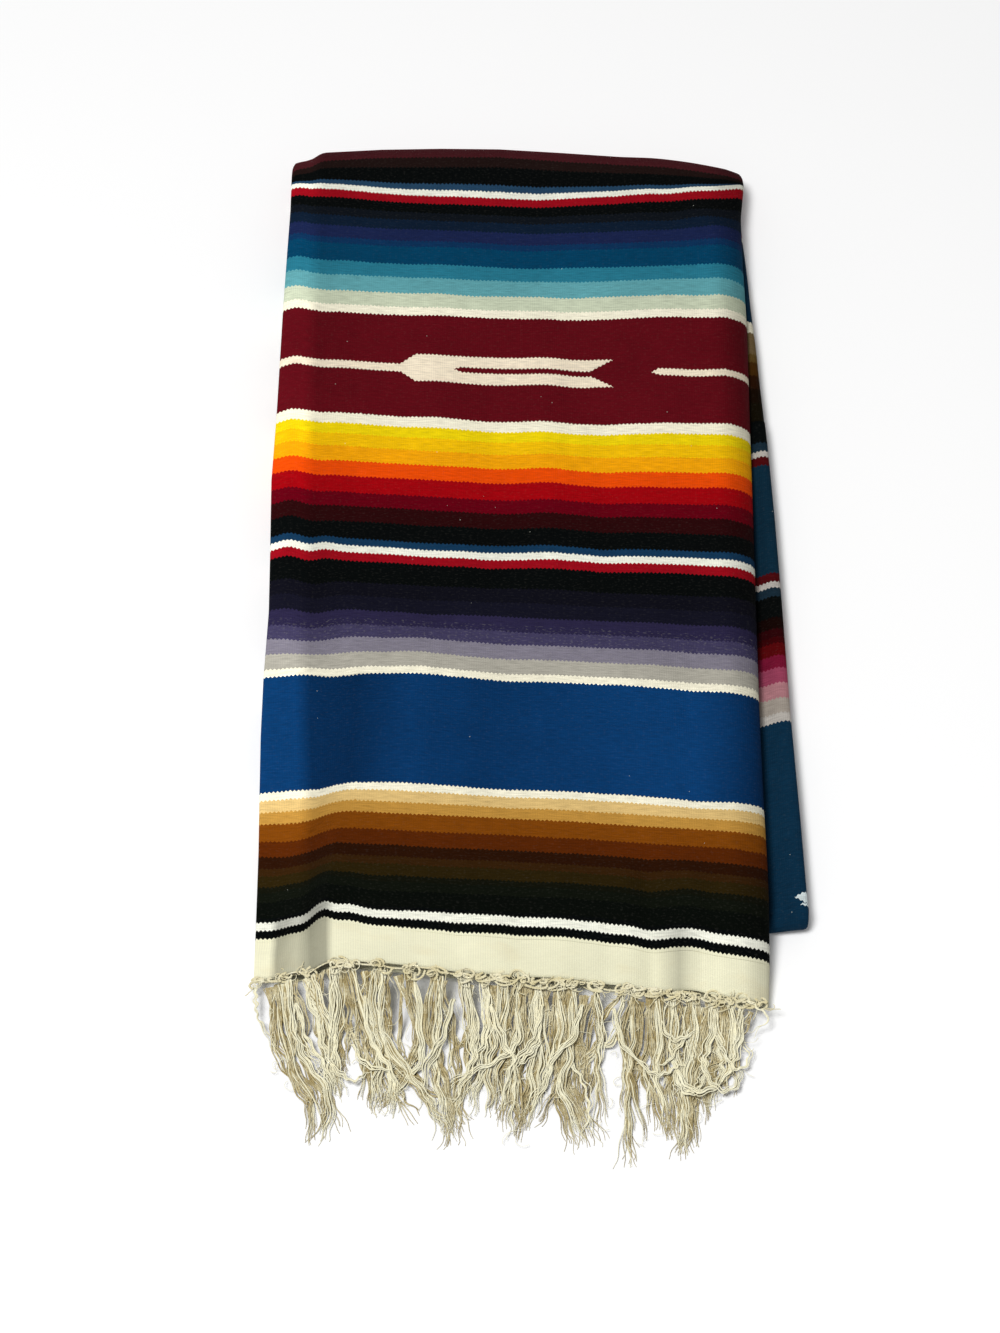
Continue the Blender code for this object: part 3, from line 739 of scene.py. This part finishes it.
def creamWeb():
    paint = Paint("creamWeb")
    across, along = paint.weaveMap()
    stains = paint.noise(paint.vector(across / 30.0, along / 12.0, 2.0), 3.0)
    colour = paint.mix(((stains - 0.52) * 3.0).limited() * 0.22, dyes["band cream"], dyes["straw"])
    # The end band and the hems take the hem's painted light and shade of the folds as their tone
    colour, height = wovenLook(paint, across, along, colour, 0.1, 0.03, outline(across, paintedFoldShade["hem"]))
    return paint.finish(colour, height, weave["depth"])


def cordYarn(name, light, dark):
    paint = Paint(name)
    spot = paint.node("ShaderNodeTexCoord", {}, {}, output=3)
    clouds = paint.noise(paint.node("ShaderNodeVectorMath", {"operation": "SCALE"}, {0: spot, 3: 110.0}), 3.0)
    grain = paint.noise(paint.node("ShaderNodeVectorMath", {"operation": "SCALE"}, {0: spot, 3: 900.0}), 2.0)
    share = ((clouds - 0.35) * 2.0 + (grain - 0.5) * 1.2).limited()
    shape = paint.node("ShaderNodeNewGeometry", {}, {}, output=1)
    # Loose fibres scatter light, so a yarn shades as a flatter shape than a rod
    mixed = {0: 0.65, 4: shape, 5: (0.0, 0.0, 1.0)}
    flatter = paint.node("ShaderNodeMix", {"data_type": "VECTOR"}, mixed, output=1)
    facing = paint.node("ShaderNodeVectorMath", {"operation": "NORMALIZE"}, {0: flatter})
    return paint.finish(paint.mix(share, dark, light), grain, 0.08, Normal=facing)


# Pieces of the web

leafGrid = {
    "columns": 130, "step": 3.0, "turn": 0.12, "tuck": 14.0,
    "seam": 0.25, "apart": 0.04,        # the first row at the band's seam, and half the gap there
    "foldEnd": math.radians(165.0),     # how far it goes round the far fold
}


# Section of the outer layer: a two-layer fold at the left, a four-layer one at the right
def outerSection(columns):
    def section(station):
        left, right = sideX("left", station), sideX("right", station)
        leftLayer, rightLayer = pitch(station, left), pitch(station, right)
        arcLeft = foldArc(left, -1, 1.0, 1.0, leftLayer, leafGrid["tuck"])[:-2]
        arcRight = foldArc(right, 1, 2.0, 2.0, rightLayer, leafGrid["tuck"])[2:]
        start, end = arcLeft[-1][0], arcRight[0][0]
        flat = [(between(start, end, i / columns), 0.0) for i in range(1, columns)]
        return arcLeft + flat + arcRight
    return section


def frontLeaf(material):
    bm = bmesh.new()
    start = stack["bandTop"] + leafGrid["apart"]
    stations = [("front", start)]
    stations += way("front", start + leafGrid["seam"], stack["farCrest"], leafGrid["step"])
    stations += way("fold", 0.0, leafGrid["foldEnd"], leafGrid["turn"])[1:]
    layCloth(bm, stations, outerSection(leafGrid["columns"]), onStack, lengthwise)
    piece = makePiece("frontLeaf", bm, material, stack["wall"])
    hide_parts("front_leaf")
    return piece


def endBand(material):
    bm = bmesh.new()
    end = stack["bandTop"] - leafGrid["apart"]
    stations = way("front", stack["hem"], end - leafGrid["seam"], 2.0) + [("front", end)]
    layCloth(bm, stations, outerSection(leafGrid["columns"]), onStack, lengthwise)
    piece = makePiece("endBand", bm, material, stack["wall"])
    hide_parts("end_band")
    return piece


backGrid = {
    "start": 148.0, "foldEnd": math.radians(15.0), "columns": 12, "step": 3.0, "turn": 0.15,
    "tuck": 10.0, "square": 0.75,
    "under": 7.0, "slope": 0.12,    # how far it goes on under the upper group, and its fall there
    "floor": 0.05,
}


def backLeaf(material):
    def section(station):
        y = station[1] if station[0] == "back" else stack["nearLine"]
        right, edge = lower("right", y), strip["edge"]
        arc = foldArc(right, 1, edge, edge, 1.0, backGrid["tuck"], square=backGrid["square"])[::-1][:-2]
        inner = stripInner(y) - backGrid["under"]
        start = arc[-1][0]
        return arc + [(between(start, inner, i / backGrid["columns"]), 0.0)
                      for i in range(1, backGrid["columns"] + 1)]

    def place(station, x, depth):
        y = station[1] if station[0] == "back" else stack["nearLine"]
        inner = stripInner(y)
        point = onStrip(station, x, depth)
        if x < inner:  # it goes on under the upper group
            point.z -= backGrid["slope"] * (inner - x)
        point.z = max(point.z, backGrid["floor"])
        return point

    bm = bmesh.new()
    end = stack["nearLine"] + strip["crest"] / 2 + 1.0
    stations = way("back", backGrid["start"], end, backGrid["step"])
    stations += way("near", math.pi, backGrid["foldEnd"], backGrid["turn"])[1:]
    layCloth(bm, stations, section, place, innerLengthwise, across=-1.0)
    piece = makePiece("backLeaf", bm, material, stack["wall"])
    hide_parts("back_leaf")
    return piece


underGrid = {"columns": 40, "step": 8.0, "turn": 0.2, "seam": 0.01}
backEnd = stack["nearLine"] + stack["ribbon"] + 1.5   # where the web turns up into the near fold


# The outer layer behind and under the stack: down the far fold, along the floor, up the near fold
def outerBack(material):
    bm = bmesh.new()
    stations = way("fold", leafGrid["foldEnd"] + underGrid["seam"], math.pi, leafGrid["turn"])
    stations += way("back", stack["farCrest"], backEnd, underGrid["step"])[1:]
    stations += way("near", 0.0, math.pi, underGrid["turn"])
    layCloth(bm, stations, outerSection(underGrid["columns"]), onStack, lengthwise)
    piece = makePiece("outerBack", bm, material, stack["wall"])
    return piece


# Layered edges: middle and half thickness in layers, how far it stays in, its tucks
edges = {
    "rightInnerFold": ("right", 6.0, 2.0, 0.0, 16.0),
    "leftInnerFold": ("left", 7.0, 1.0, 0.6, 48.0),
    "selvedgeOuterOne": ("left", 2.5, 0.44, 2.2, 20.0),
    "selvedgeOuterTwo": ("left", 3.5, 0.44, 1.0, 20.0),
    "selvedgeInnerTwo": ("left", 4.5, 0.44, 1.6, 20.0),
    "selvedgeInnerOne": ("left", 5.5, 0.44, 3.0, 20.0),
}
edgeStep = {
    "front": 5.0, "turn": 0.2, "start": 2.0,
    "uneven": 1.3, "foldUneven": 0.3, "wave": 37.0,     # how far selvedges and folds wander
    "thin": 0.97, "middle": 4.0,                        # past this many layers in, the inner half
}


# What shows of the fourteen inner layers: folds and selvedges down both sides
def layeredEdges(material):
    bm = bmesh.new()
    for count, (name, (side, middle, half, inset, tuck)) in enumerate(edges.items()):
        sign = 1 if side == "right" else -1
        uneven = edgeStep["uneven"] if half < 1.0 else edgeStep["foldUneven"]

        def section(station):
            run = lengthwise(station)
            sway = uneven * noise.noise(Vector((run / edgeStep["wave"], count * 7.3, 1.0)))
            edge = sideX(side, station) - sign * (inset + sway + uneven / 2)
            return foldArc(edge, sign, middle, half * edgeStep["thin"], pitch(station, edge), tuck, 6)

        stations = way("front", stack["hem"] + edgeStep["start"], stack["farCrest"], edgeStep["front"])
        stations += way("fold", 0.0, math.pi, edgeStep["turn"])[1:]
        end = strip["end"] - 2.0 if side == "right" else backEnd
        stations += way("back", stack["farCrest"], end, edgeStep["front"])[1:]
        if side == "left" and middle < edgeStep["middle"]:
            stations += way("near", 0.0, math.pi, edgeStep["turn"])
        measure = lengthwise if middle < edgeStep["middle"] else innerLengthwise
        layCloth(bm, stations, section, onStack, measure)
    piece = makePiece("layeredEdges", bm, material)
    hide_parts("hidden_layers")
    return piece


hems = {
    "reach": 46.0, "inset": 5.0, "uneven": 2.5, "back": 2.2, "columns": 50, "step": 6.0,
    "depths": (1.6, 2.6, 3.6, 4.5, 5.5, 6.5, 7.4),
}


def hemLayers(material):  # the seven hems under the end band
    bm = bmesh.new()
    for count, depth in enumerate(hems["depths"]):
        def section(station):
            left, right = sideX("left", station) + hems["inset"], sideX("right", station) - hems["inset"]
            return [(between(left, right, i / hems["columns"]), depth) for i in range(hems["columns"] + 1)]

        start = stack["hem"] + hems["back"] + hems["uneven"] * ((count * 5) % 7) / 7
        stations = way("front", start, start + hems["reach"], hems["step"])
        layCloth(bm, stations, section, onStack, lengthwise)
    piece = makePiece("hemLayers", bm, material, stack["wall"])
    return piece


# Knots and fringe

# Each tuft: its way from the hem to its tip, half width, and yarns
tufts = {
    "cornerTuft": (((-150, -256), (-146, -279), (-140, -303), (-128, -326), (-127, -350)), 6.5, 44),
    "secondTuft": (((-134, -256), (-129, -276), (-124, -297), (-116, -318)), 4.5, 26),
    "thirdTuft": (((-117, -256), (-116, -276), (-117, -296), (-121, -322)), 4.5, 26),
    "diagonalTuft": (((-108, -257), (-97, -284), (-76, -312), (-60, -328), (-46, -342)), 2.8, 20),
    "fourthTuft": (((-91, -257), (-92, -279), (-90, -305), (-88, -333)), 4.5, 30),
    "bentTuft": (((-73, -258), (-70, -285), (-75, -308), (-90, -330)), 4.2, 28),
    "fifthTuft": (((-57, -259), (-57, -285), (-52, -318), (-52, -354)), 4.5, 34),
    "sixthTuft": (((-41, -260), (-38, -285), (-38, -311), (-43, -337)), 4.5, 28),
    "seventhTuft": (((-29, -260), (-29, -284), (-33, -305), (-37, -328)), 3.2, 14),
    "eighthTuft": (((-18, -260), (-17, -285), (-22, -311), (-26, -334)), 4.2, 24),
    "middleTuft": (((-7, -261), (-9, -285), (-8, -318), (-7, -350)), 4.8, 34),
    "ninthTuft": (((4, -261), (5, -288), (0, -312), (-3, -338)), 4.2, 26),
    "tenthTuft": (((15, -262), (13, -290), (8, -316), (-4, -341)), 4.0, 28),
    "sweepTuft": (((23, -263), (18, -294), (19, -322), (29, -354)), 4.5, 30),
    "thinTuft": (((38, -265), (39, -286), (40, -311), (42, -341)), 2.0, 9),
    "slantTuft": (((54, -262), (46, -279), (36, -292), (22, -304)), 3.0, 15),
    "longTuft": (((61, -268), (57, -292), (58, -324), (64, -363)), 3.2, 26),
    "netTuft": (((73, -269), (74, -296), (75, -316), (76, -347)), 6.5, 34),
    "loopTuft": (((85, -270), (85, -290), (84, -308), (82, -324)), 5.0, 24),
    "pairTuft": (((96, -271), (96, -296), (94, -328), (91, -360)), 5.0, 34),
    "eleventhTuft": (((107, -272), (107, -292), (106, -308), (101, -322)), 4.8, 24),
    "lastTuft": (((116, -273), (115, -296), (111, -312), (104, -330)), 5.0, 28),
    "edgeTuft": (((124, -273), (121, -290), (117, -304), (111, -316)), 2.4, 10),
}
# Loose ones that lie over the rest, and ones that cross
strays = {
    "cornerLoop": (((-165, -253), (-166, -265), (-163, -277), (-152, -290)), 0.7, 4),
    "sideStrand": (((2, -268), (3, -288), (-5, -300), (-21, -302)), 1.0, 11),
    "longSide": (((-10, -270), (-8, -290), (-21, -301), (-38, -307), (-54, -316)), 1.0, 10),
    "netStrand": (((62, -300), (74, -310), (86, -306), (92, -298)), 1.2, 5),
    "lowCurl": (((82, -298), (92, -318), (108, -318), (116, -300)), 1.6, 9),
    "leftCurl": (((-108, -288), (-100, -302), (-88, -306), (-78, -298)), 0.8, 5),
    "leftNet": (((-124, -296), (-114, -310), (-104, -313), (-95, -306)), 0.8, 5),
    "lowCurve": (((20, -296), (28, -312), (33, -330), (29, -348)), 0.8, 5),
    "netRing": (((76, -276), (83, -288), (93, -286), (94, -274)), 0.8, 4),
    "netCross": (((98, -282), (88, -292), (80, -302), (70, -304)), 1.0, 5),
    "cornerEnd": (((127, -266), (134, -270), (139, -276), (131, -284)), 0.7, 3),
    "hangLoop": (((100, -296), (103, -312), (113, -320), (121, -312), (122, -294)), 1.2, 7),
    "roundLoop": (((84, -300), (86, -316), (94, -322), (102, -314), (101, -298)), 1.2, 7),
    "tiltLoop": (((108, -284), (114, -298), (122, -306), (128, -298), (124, -284)), 0.8, 4),
    "crossOne": (((-100, -266), (-96, -288), (-86, -306), (-80, -326)), 1.8, 10),
    "crossTwo": (((-47, -266), (-52, -286), (-62, -304), (-64, -328)), 1.6, 10),
    "crossThree": (((6, -268), (0, -288), (-12, -306), (-16, -330)), 1.6, 10),
    "crossFour": (((-26, -268), (-20, -286), (-10, -304), (-8, -328)), 1.6, 10),
    "crossFive": (((-142, -266), (-136, -286), (-124, -302), (-116, -322)), 1.6, 10),
    "crossSix": (((30, -268), (24, -286), (12, -300), (6, -316)), 1.5, 9),
    "crossSeven": (((48, -270), (54, -290), (66, -306), (70, -326)), 1.4, 8),
}
fringe = {
    "seed": 41, "radius": 0.30, "points": 34,
    "rests": 0.4, "lands": 40.0,            # height over the floor, and where it comes down to it
    "perLock": 14, "fuller": 1.5,           # yarns in a lock, and how many there are for each seen
    "wander": 5.0, "crimp": 0.7, "twist": 1.0, "gather": 0.75, "root": 3.4,
    "under": 76, "underYarns": 8, "underWander": 4.5,
    "strayLift": 7.0, "strayWander": 1.2,
    "hairs": 260, "hairSteps": 10, "hairLift": 3.0, "hairEnd": -364.0,
}


def alongPath(points, share):  # the place at a share of a smooth way through a few points
    count = len(points) - 1
    part = min(max(share, 0.0) * count, count - 1e-6)
    i = int(part)
    t = part - i
    a, b, c, d = [points[min(max(k, 0), count)] for k in (i - 1, i, i + 1, i + 2)]
    return Vector([0.5 * (2 * q + (r - p) * t + (2 * p - 5 * q + 4 * r - s) * t * t
                          + (3 * q - p - 3 * r + s) * t ** 3) for p, q, r, s in zip(a, b, c, d)])


def hemY(x):
    return weftY(stack["hem"], x)


def hemZ(x):
    return leafHeight(x, stack["hem"])


def fringeFloor(x, y):  # the yarn comes down from the hem to the floor
    reach = hemY(x) - y
    start = max(hemZ(x) - 2.6 - 1.2 * clamp(reach / 6.0), fringe["rests"])
    return start * (1.0 - ease(1.0, fringe["lands"], reach)) + fringe["rests"]


def newYarns(name):
    curve = bpy.data.curves.new(name, "CURVE")
    curve.dimensions = "3D"
    curve.bevel_depth = fringe["radius"] * mm
    curve.bevel_resolution = 0
    curve.use_fill_caps = True
    return curve


def addYarn(curve, points, radii):
    spline = curve.splines.new("POLY")
    spline.points.add(len(points) - 1)
    for spot, point, radius in zip(spline.points, points, radii):
        spot.co = (*(point * mm), 1.0)
        spot.radius = radius


# One lock of a tuft: its yarns wind round each other, crimped, and part at the tip
def lockYarns(rng, points, offset, width, count, level, length, wander):
    tau = 2 * math.pi
    waves = [(rng.uniform(0.4, 1.0), rng.uniform(0, tau), wander * rng.uniform(0.4, 1.0)),
             (rng.uniform(1.6, 3.0), rng.uniform(0, tau), wander * rng.uniform(0.1, 0.35))]
    crimp = (rng.uniform(4.0, 7.0), rng.uniform(0, tau), fringe["crimp"] * rng.uniform(0.5, 1.3))
    twist, radius = fringe["twist"] * rng.uniform(-1.0, 1.0), 0.40 * math.sqrt(count) * rng.uniform(0.8, 1.3)
    parting = rng.uniform(-1.0, 1.0) * width * 0.7
    yarns = []
    for k in range(count):
        turn, own = tau * rng.random(), rng.uniform(0.35, 1.0)
        reach = length * (1.03 - 0.34 * rng.random() ** 1.5)
        little = (rng.uniform(4.0, 9.0), rng.uniform(0, tau), rng.uniform(0.05, 0.3))
        stray = rng.gauss(0.0, 1.0) * (2.4 if rng.random() < 0.2 else 1.0)
        drift = (rng.uniform(0.6, 1.8), rng.uniform(0, tau), abs(rng.gauss(0.0, 1.0)))
        root = between(-1.0, 1.0, (k + 0.5) / count) * width * fringe["gather"] + offset * fringe["gather"]
        yarn, radii = [], []
        for i in range(fringe["points"]):
            t = i / (fringe["points"] - 1)
            share = t * reach
            near = min(share, 1.0)
            spot, ahead = alongPath(points, near), alongPath(points, near + 0.02)
            run = (ahead - alongPath(points, near - 0.02)).normalized()
            if share > 1.0:
                spot = spot + run * (share - 1.0) * 80.0
            sway = sum(size * math.sin(rate * tau * share + phase) for rate, phase, size in (*waves, crimp))
            swirl = turn + twist * tau * share
            loose = 1.0 + 1.3 * ease(0.55, 1.0, share) + 0.5 * math.sin(math.pi * min(share * 1.6, 1.0))
            side = offset * (1.0 - 0.35 * ease(0.5, 1.0, share)) + parting * ease(0.35, 0.9, share)
            side += sway * ease(0.04, 0.3, share) + own * radius * loose * math.cos(swirl)
            side += little[2] * math.sin(little[0] * tau * share + little[1])
            side += drift[2] * math.sin(drift[0] * tau * share + drift[1])
            side += stray * 2.2 * ease(0.7, 1.1, share) * share
            side = between(root, side, ease(0.0, 0.16, share))
            place = spot + Vector((-run.y, run.x)) * side
            lift = level * math.sin(math.pi * clamp(0.15 + share * 0.8)) * (1.0 - 0.6 * ease(0.7, 1.0, share))
            lift += own * radius * 1.1 * (1.0 + math.sin(swirl)) * (1.0 - 0.7 * ease(0.7, 1.0, share))
            lift *= ease(-0.02, 0.08, share)
            yarn.append(Vector((place.x, place.y, fringeFloor(place.x, place.y) + lift)))
            radii.append((1.0 - 0.55 * ease(0.75, 1.0, t)) * (0.8 + 0.4 * own))
        yarns.append((yarn, radii))
    return yarns


def litOrShadedYarn(rng, level):  # painted light and shade: yarns lifted high in a lock take the pale colours, lower ones deeper, with some of each in every lock
    if rng.random() < 0.2:
        return rng.randrange(3)
    return 0 if level > 2.2 else 1 if level > 1.0 else 2


def tuftYarns(rng, points, width, count):
    count = round(count * fringe["fuller"])
    locks = max(1, round(count / fringe["perLock"]))
    yarns = []
    for k in range(locks):
        offset = between(-1.0, 1.0, (k + 0.5) / locks) * width * 0.8
        length, level = rng.uniform(0.86, 1.02) if k else 1.0, rng.uniform(0.0, 4.6)
        lock = lockYarns(rng, points, offset, width / math.sqrt(locks), round(count / locks),
                         level, length, fringe["wander"] if locks > 1 else 1.0)
        yarns += [(yarn, radii, litOrShadedYarn(rng, level)) for yarn, radii in lock]
    return yarns


def makeFringe(materials):
    rng = random.Random(fringe["seed"])
    yarns = []
    for points, width, count in tufts.values():
        x = points[0][0]
        yarns += tuftYarns(rng, ((x, hemY(x) - fringe["root"]), *points[1:]), width, count)
    names = list(tufts)
    for _ in range(fringe["under"]):  # locks of the layers beneath, which wander more
        points, width, count = tufts[rng.choice(names)]
        shift, lean = rng.gauss(0, 4.5), rng.gauss(0, 7.0)
        shifted = [(x + shift + lean * i / 3, y + 2.0) for i, (x, y) in enumerate(points)]
        lock = lockYarns(rng, shifted, 0.0, width, fringe["underYarns"], 0.0,
                         rng.uniform(0.66, 1.0), fringe["underWander"])
        yarns += [(yarn, radii, litOrShadedYarn(rng, 0.0)) for yarn, radii in lock]
    for points, width, count in strays.values():
        lock = lockYarns(rng, points, 0.0, width, count, fringe["strayLift"], 1.0, fringe["strayWander"])
        yarns += [(yarn, radii, 0) for yarn, radii in lock]
    hairs = []
    for _ in range(fringe["hairs"]):  # single curled fibres
        points, width, count = tufts[rng.choice(names)]
        start = rng.uniform(0.1, 0.95)
        spot = alongPath(points, start) + Vector((rng.gauss(0, width), rng.gauss(0, 2.0)))
        turn, bend, size = rng.uniform(0, 6.3), rng.uniform(-1.3, 1.3), rng.uniform(4.0, 15.0)
        path = []
        for i in range(fringe["hairSteps"]):
            turn += bend * 0.4 + rng.uniform(-0.35, 0.35)
            spot = spot + Vector((math.cos(turn), math.sin(turn))) * size / fringe["hairSteps"]
            height = fringeFloor(spot.x, spot.y) + fringe["hairLift"] + 1.5 * math.sin(i / 3)
            path.append(Vector((spot.x, spot.y, height)))
        nearest = max(point.y - hemY(point.x) for point in path)
        if min(point.y for point in path) > fringe["hairEnd"] and nearest < -4.0:
            hairs.append((path, [rng.uniform(0.35, 0.6)] * fringe["hairSteps"], 0))
    yarns += hairs
    pieces = []
    for shade, material in enumerate(materials):
        curve = newYarns(f"fringeYarns{shade + 1}")
        for yarn, radii, own in yarns:
            if own == shade:
                addYarn(curve, yarn, radii)
        pieces.append(yarnPiece(curve, material))
    print("fringe", len(yarns), "yarns in", len(pieces), "pieces")
    return pieces


def yarnPiece(curve, material):  # the curves made a mesh
    holder = bpy.data.objects.new(curve.name, curve)
    bpy.context.scene.collection.objects.link(holder)
    bpy.context.view_layer.update()
    graph = bpy.context.evaluated_depsgraph_get()
    mesh = bpy.data.meshes.new_from_object(holder.evaluated_get(graph))
    mesh.name = curve.name
    mesh.materials.clear()
    mesh.materials.append(material)
    mesh.shade_smooth()
    bpy.data.objects.remove(holder)
    piece = bpy.data.objects.new(mesh.name, mesh)
    bpy.context.scene.collection.objects.link(piece)
    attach(piece, "root")
    return piece


knots = {
    "seed": 7, "corners": [-164.0, 134.0],
    "strands": 3, "rope": 0.46, "lay": 4.6, "thick": 1.4,       # the cords
    "low": 2.6, "wide": (6.0, 16.0), "high": (2.6, 8.0), "loops": (1.0, 0.7, 0.4, 0.4), "loopSteps": 21,
    "tails": 5, "tailSteps": 12, "tailStep": 0.9, "tailThick": 0.9,
    "linkSteps": 13, "overlap": 1.5,                            # the cord from knot to knot
}


def addRope(curve, points, radius, thick):  # a cord of a few yarns laid round each other
    run = [0.0]
    for first, second in zip(points, points[1:]):
        run.append(run[-1] + (second - first).length)
    for strand in range(knots["strands"]):
        path = []
        for i, point in enumerate(points):
            ahead = (points[min(i + 1, len(points) - 1)] - points[max(i - 1, 0)]).normalized()
            side = Vector((-ahead.y, ahead.x, 0.0))
            turn = run[i] / knots["lay"] * 2 * math.pi + strand * 2 * math.pi / knots["strands"]
            path.append(point + (side * math.cos(turn) + Vector((0, 0, 1)) * math.sin(turn)) * radius)
        addYarn(curve, path, [thick] * len(path))


def knotRow(material):  # where the warp ends are tied off below the hem, in loops and loose cords
    rng = random.Random(knots["seed"])
    curve = newYarns("knotYarns")
    roots = sorted([points[0][0] for points, width, count in tufts.values()] + knots["corners"])
    for x in roots:
        middle = Vector((x, hemY(x) - knots["low"], hemZ(x) + 0.8))
        for loop, size in enumerate(knots["loops"]):  # open loops that lie flat, and tight ones
            wide, high = rng.uniform(*knots["wide"]) * size, rng.uniform(*knots["high"]) * size
            lean, start = rng.uniform(-0.6, 0.6), rng.uniform(0, 6.3)
            sweep = rng.uniform(2.6, 5.4)
            heart = middle + Vector((rng.uniform(-4.0, 4.0), rng.uniform(-1.8, 1.2), loop * 0.6))
            path = []
            for i in range(knots["loopSteps"] + 1):
                turn = start + sweep * i / knots["loopSteps"]
                x1, y1 = wide / 2 * math.cos(turn), high / 2 * math.sin(turn) * 1.3
                path.append(heart + Vector((x1 * math.cos(lean) - y1 * math.sin(lean),
                                            x1 * math.sin(lean) + y1 * math.cos(lean),
                                            0.9 * math.sin(turn + start))))
            addRope(curve, path, knots["rope"] * (0.6 + 0.4 * size), knots["thick"])
        for _ in range(knots["tails"]):  # short curled ends
            spot = middle + Vector((rng.uniform(-5.0, 5.0), rng.uniform(-2.0, 1.0), 1.2))
            turn, bend, path = rng.uniform(3.2, 6.2), rng.uniform(-0.5, 0.5), []
            for i in range(knots["tailSteps"]):
                turn += bend + rng.uniform(-0.3, 0.3)
                ahead = Vector((math.cos(turn), math.sin(turn), rng.uniform(-0.3, 0.1)))
                spot = spot + ahead * knots["tailStep"]
                path.append(spot)
            addYarn(curve, path, [knots["tailThick"]] * len(path))
    for first, second in zip(roots, roots[1:]):  # the cord from each knot to the next
        sag, rise = rng.uniform(-1.5, 2.4), rng.uniform(-0.6, 0.8)
        path = []
        for i in range(knots["linkSteps"] + 1):
            t = i / knots["linkSteps"]
            x = between(first - knots["overlap"], second + knots["overlap"], t)
            bow = math.sin(math.pi * t)
            path.append(Vector((x, hemY(x) - 1.6 - rise - sag * bow, hemZ(x) - 0.2 + 0.7 * bow)))
        addRope(curve, path, knots["rope"] * 0.8, knots["thick"] * 0.85)
    piece = yarnPiece(curve, material)
    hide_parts("knot_row")
    return piece


# Stage

studio = {
    "eye": (-19.5, -1123.5, 1900.6), "tilt": 30.0, "lens": 93.17,
    "key": ((-880.0, -1000.0, 3760.0), 1100.0, 126.0),      # place, size and power
    "sky": 0.24, "floorGlow": 0.07, "floorHalf": 9.0,
}


def aimedLight(name, spot, size, power):
    light = bpy.data.lights.new(name, "AREA")
    light.size = size * mm
    light.energy = power
    lamp = bpy.data.objects.new(name, light)
    lamp.location = Vector(spot) * mm
    lamp.rotation_euler = (-lamp.location).to_track_quat("-Z", "Y").to_euler()
    bpy.context.scene.collection.objects.link(lamp)


def makeStage():
    bm = bmesh.new()
    bmesh.ops.create_grid(bm, x_segments=1, y_segments=1, size=studio["floorHalf"])
    mesh = bpy.data.meshes.new("studioFloor")
    bm.to_mesh(mesh)
    bm.free()
    floor = bpy.data.objects.new("studioFloor", mesh)
    bpy.context.scene.collection.objects.link(floor)
    pale = bpy.data.materials.new("paleFloor")
    pale.use_nodes = True
    shader = pale.node_tree.nodes["Principled BSDF"]
    shader.inputs["Base Color"].default_value = (0.985, 0.985, 0.985, 1.0)
    shader.inputs["Roughness"].default_value = 0.9
    shader.inputs["Emission Color"].default_value = (1.0, 1.0, 1.0, 1.0)
    shader.inputs["Emission Strength"].default_value = studio["floorGlow"]
    mesh.materials.append(pale)

    world = bpy.context.scene.world or bpy.data.worlds.new("studio")
    bpy.context.scene.world = world
    world.use_nodes = True
    sky = world.node_tree.nodes["Background"]
    sky.inputs["Color"].default_value = (1.0, 1.0, 1.0, 1.0)
    sky.inputs["Strength"].default_value = studio["sky"]
    aimedLight("keyLight", *studio["key"])

    camera = bpy.data.cameras.new("camera")
    camera.lens = studio["lens"]
    eye = bpy.data.objects.new("camera", camera)
    eye.location = Vector(studio["eye"]) * mm
    eye.rotation_euler = (math.radians(studio["tilt"]), 0.0, 0.0)
    bpy.context.scene.collection.objects.link(eye)
    bpy.context.scene.camera = eye
    bpy.context.scene.view_settings.view_transform = "Standard"


makeStage()
striped = stripedWeb("stripedWeb", arrowMask, "arrow cream", True)
stripedBack = stripedWeb("stripedBack", starterMask, "pale tip", False)
cream = creamWeb()
# Yarn colours as painted light and shade: pale for the yarns lifted highest, shaded for the lower and under
# ones
yarns = [cordYarn(f"fringeYarn{i + 1}", dyes[light], dyes[dark]) for i, (light, dark) in enumerate(
    (("pale yarn", "yarn"), ("yarn", "shaded yarn"), ("yarn", "shaded yarn")))]
cord = cordYarn("knotCord", dyes["pale cord"], dyes["shaded cord"])
leafPiece = frontLeaf(striped)
print("front leaf")
bandPiece = endBand(cream)
backPiece = backLeaf(stripedBack)
print("end band and back leaf")
underPiece = outerBack(striped)
edgePiece = layeredEdges(striped)
hemPiece = hemLayers(cream)
print("layered edges")
knotPiece = knotRow(cord)
fringePieces = makeFringe(yarns)
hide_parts("fringe")
print("knots and fringe")
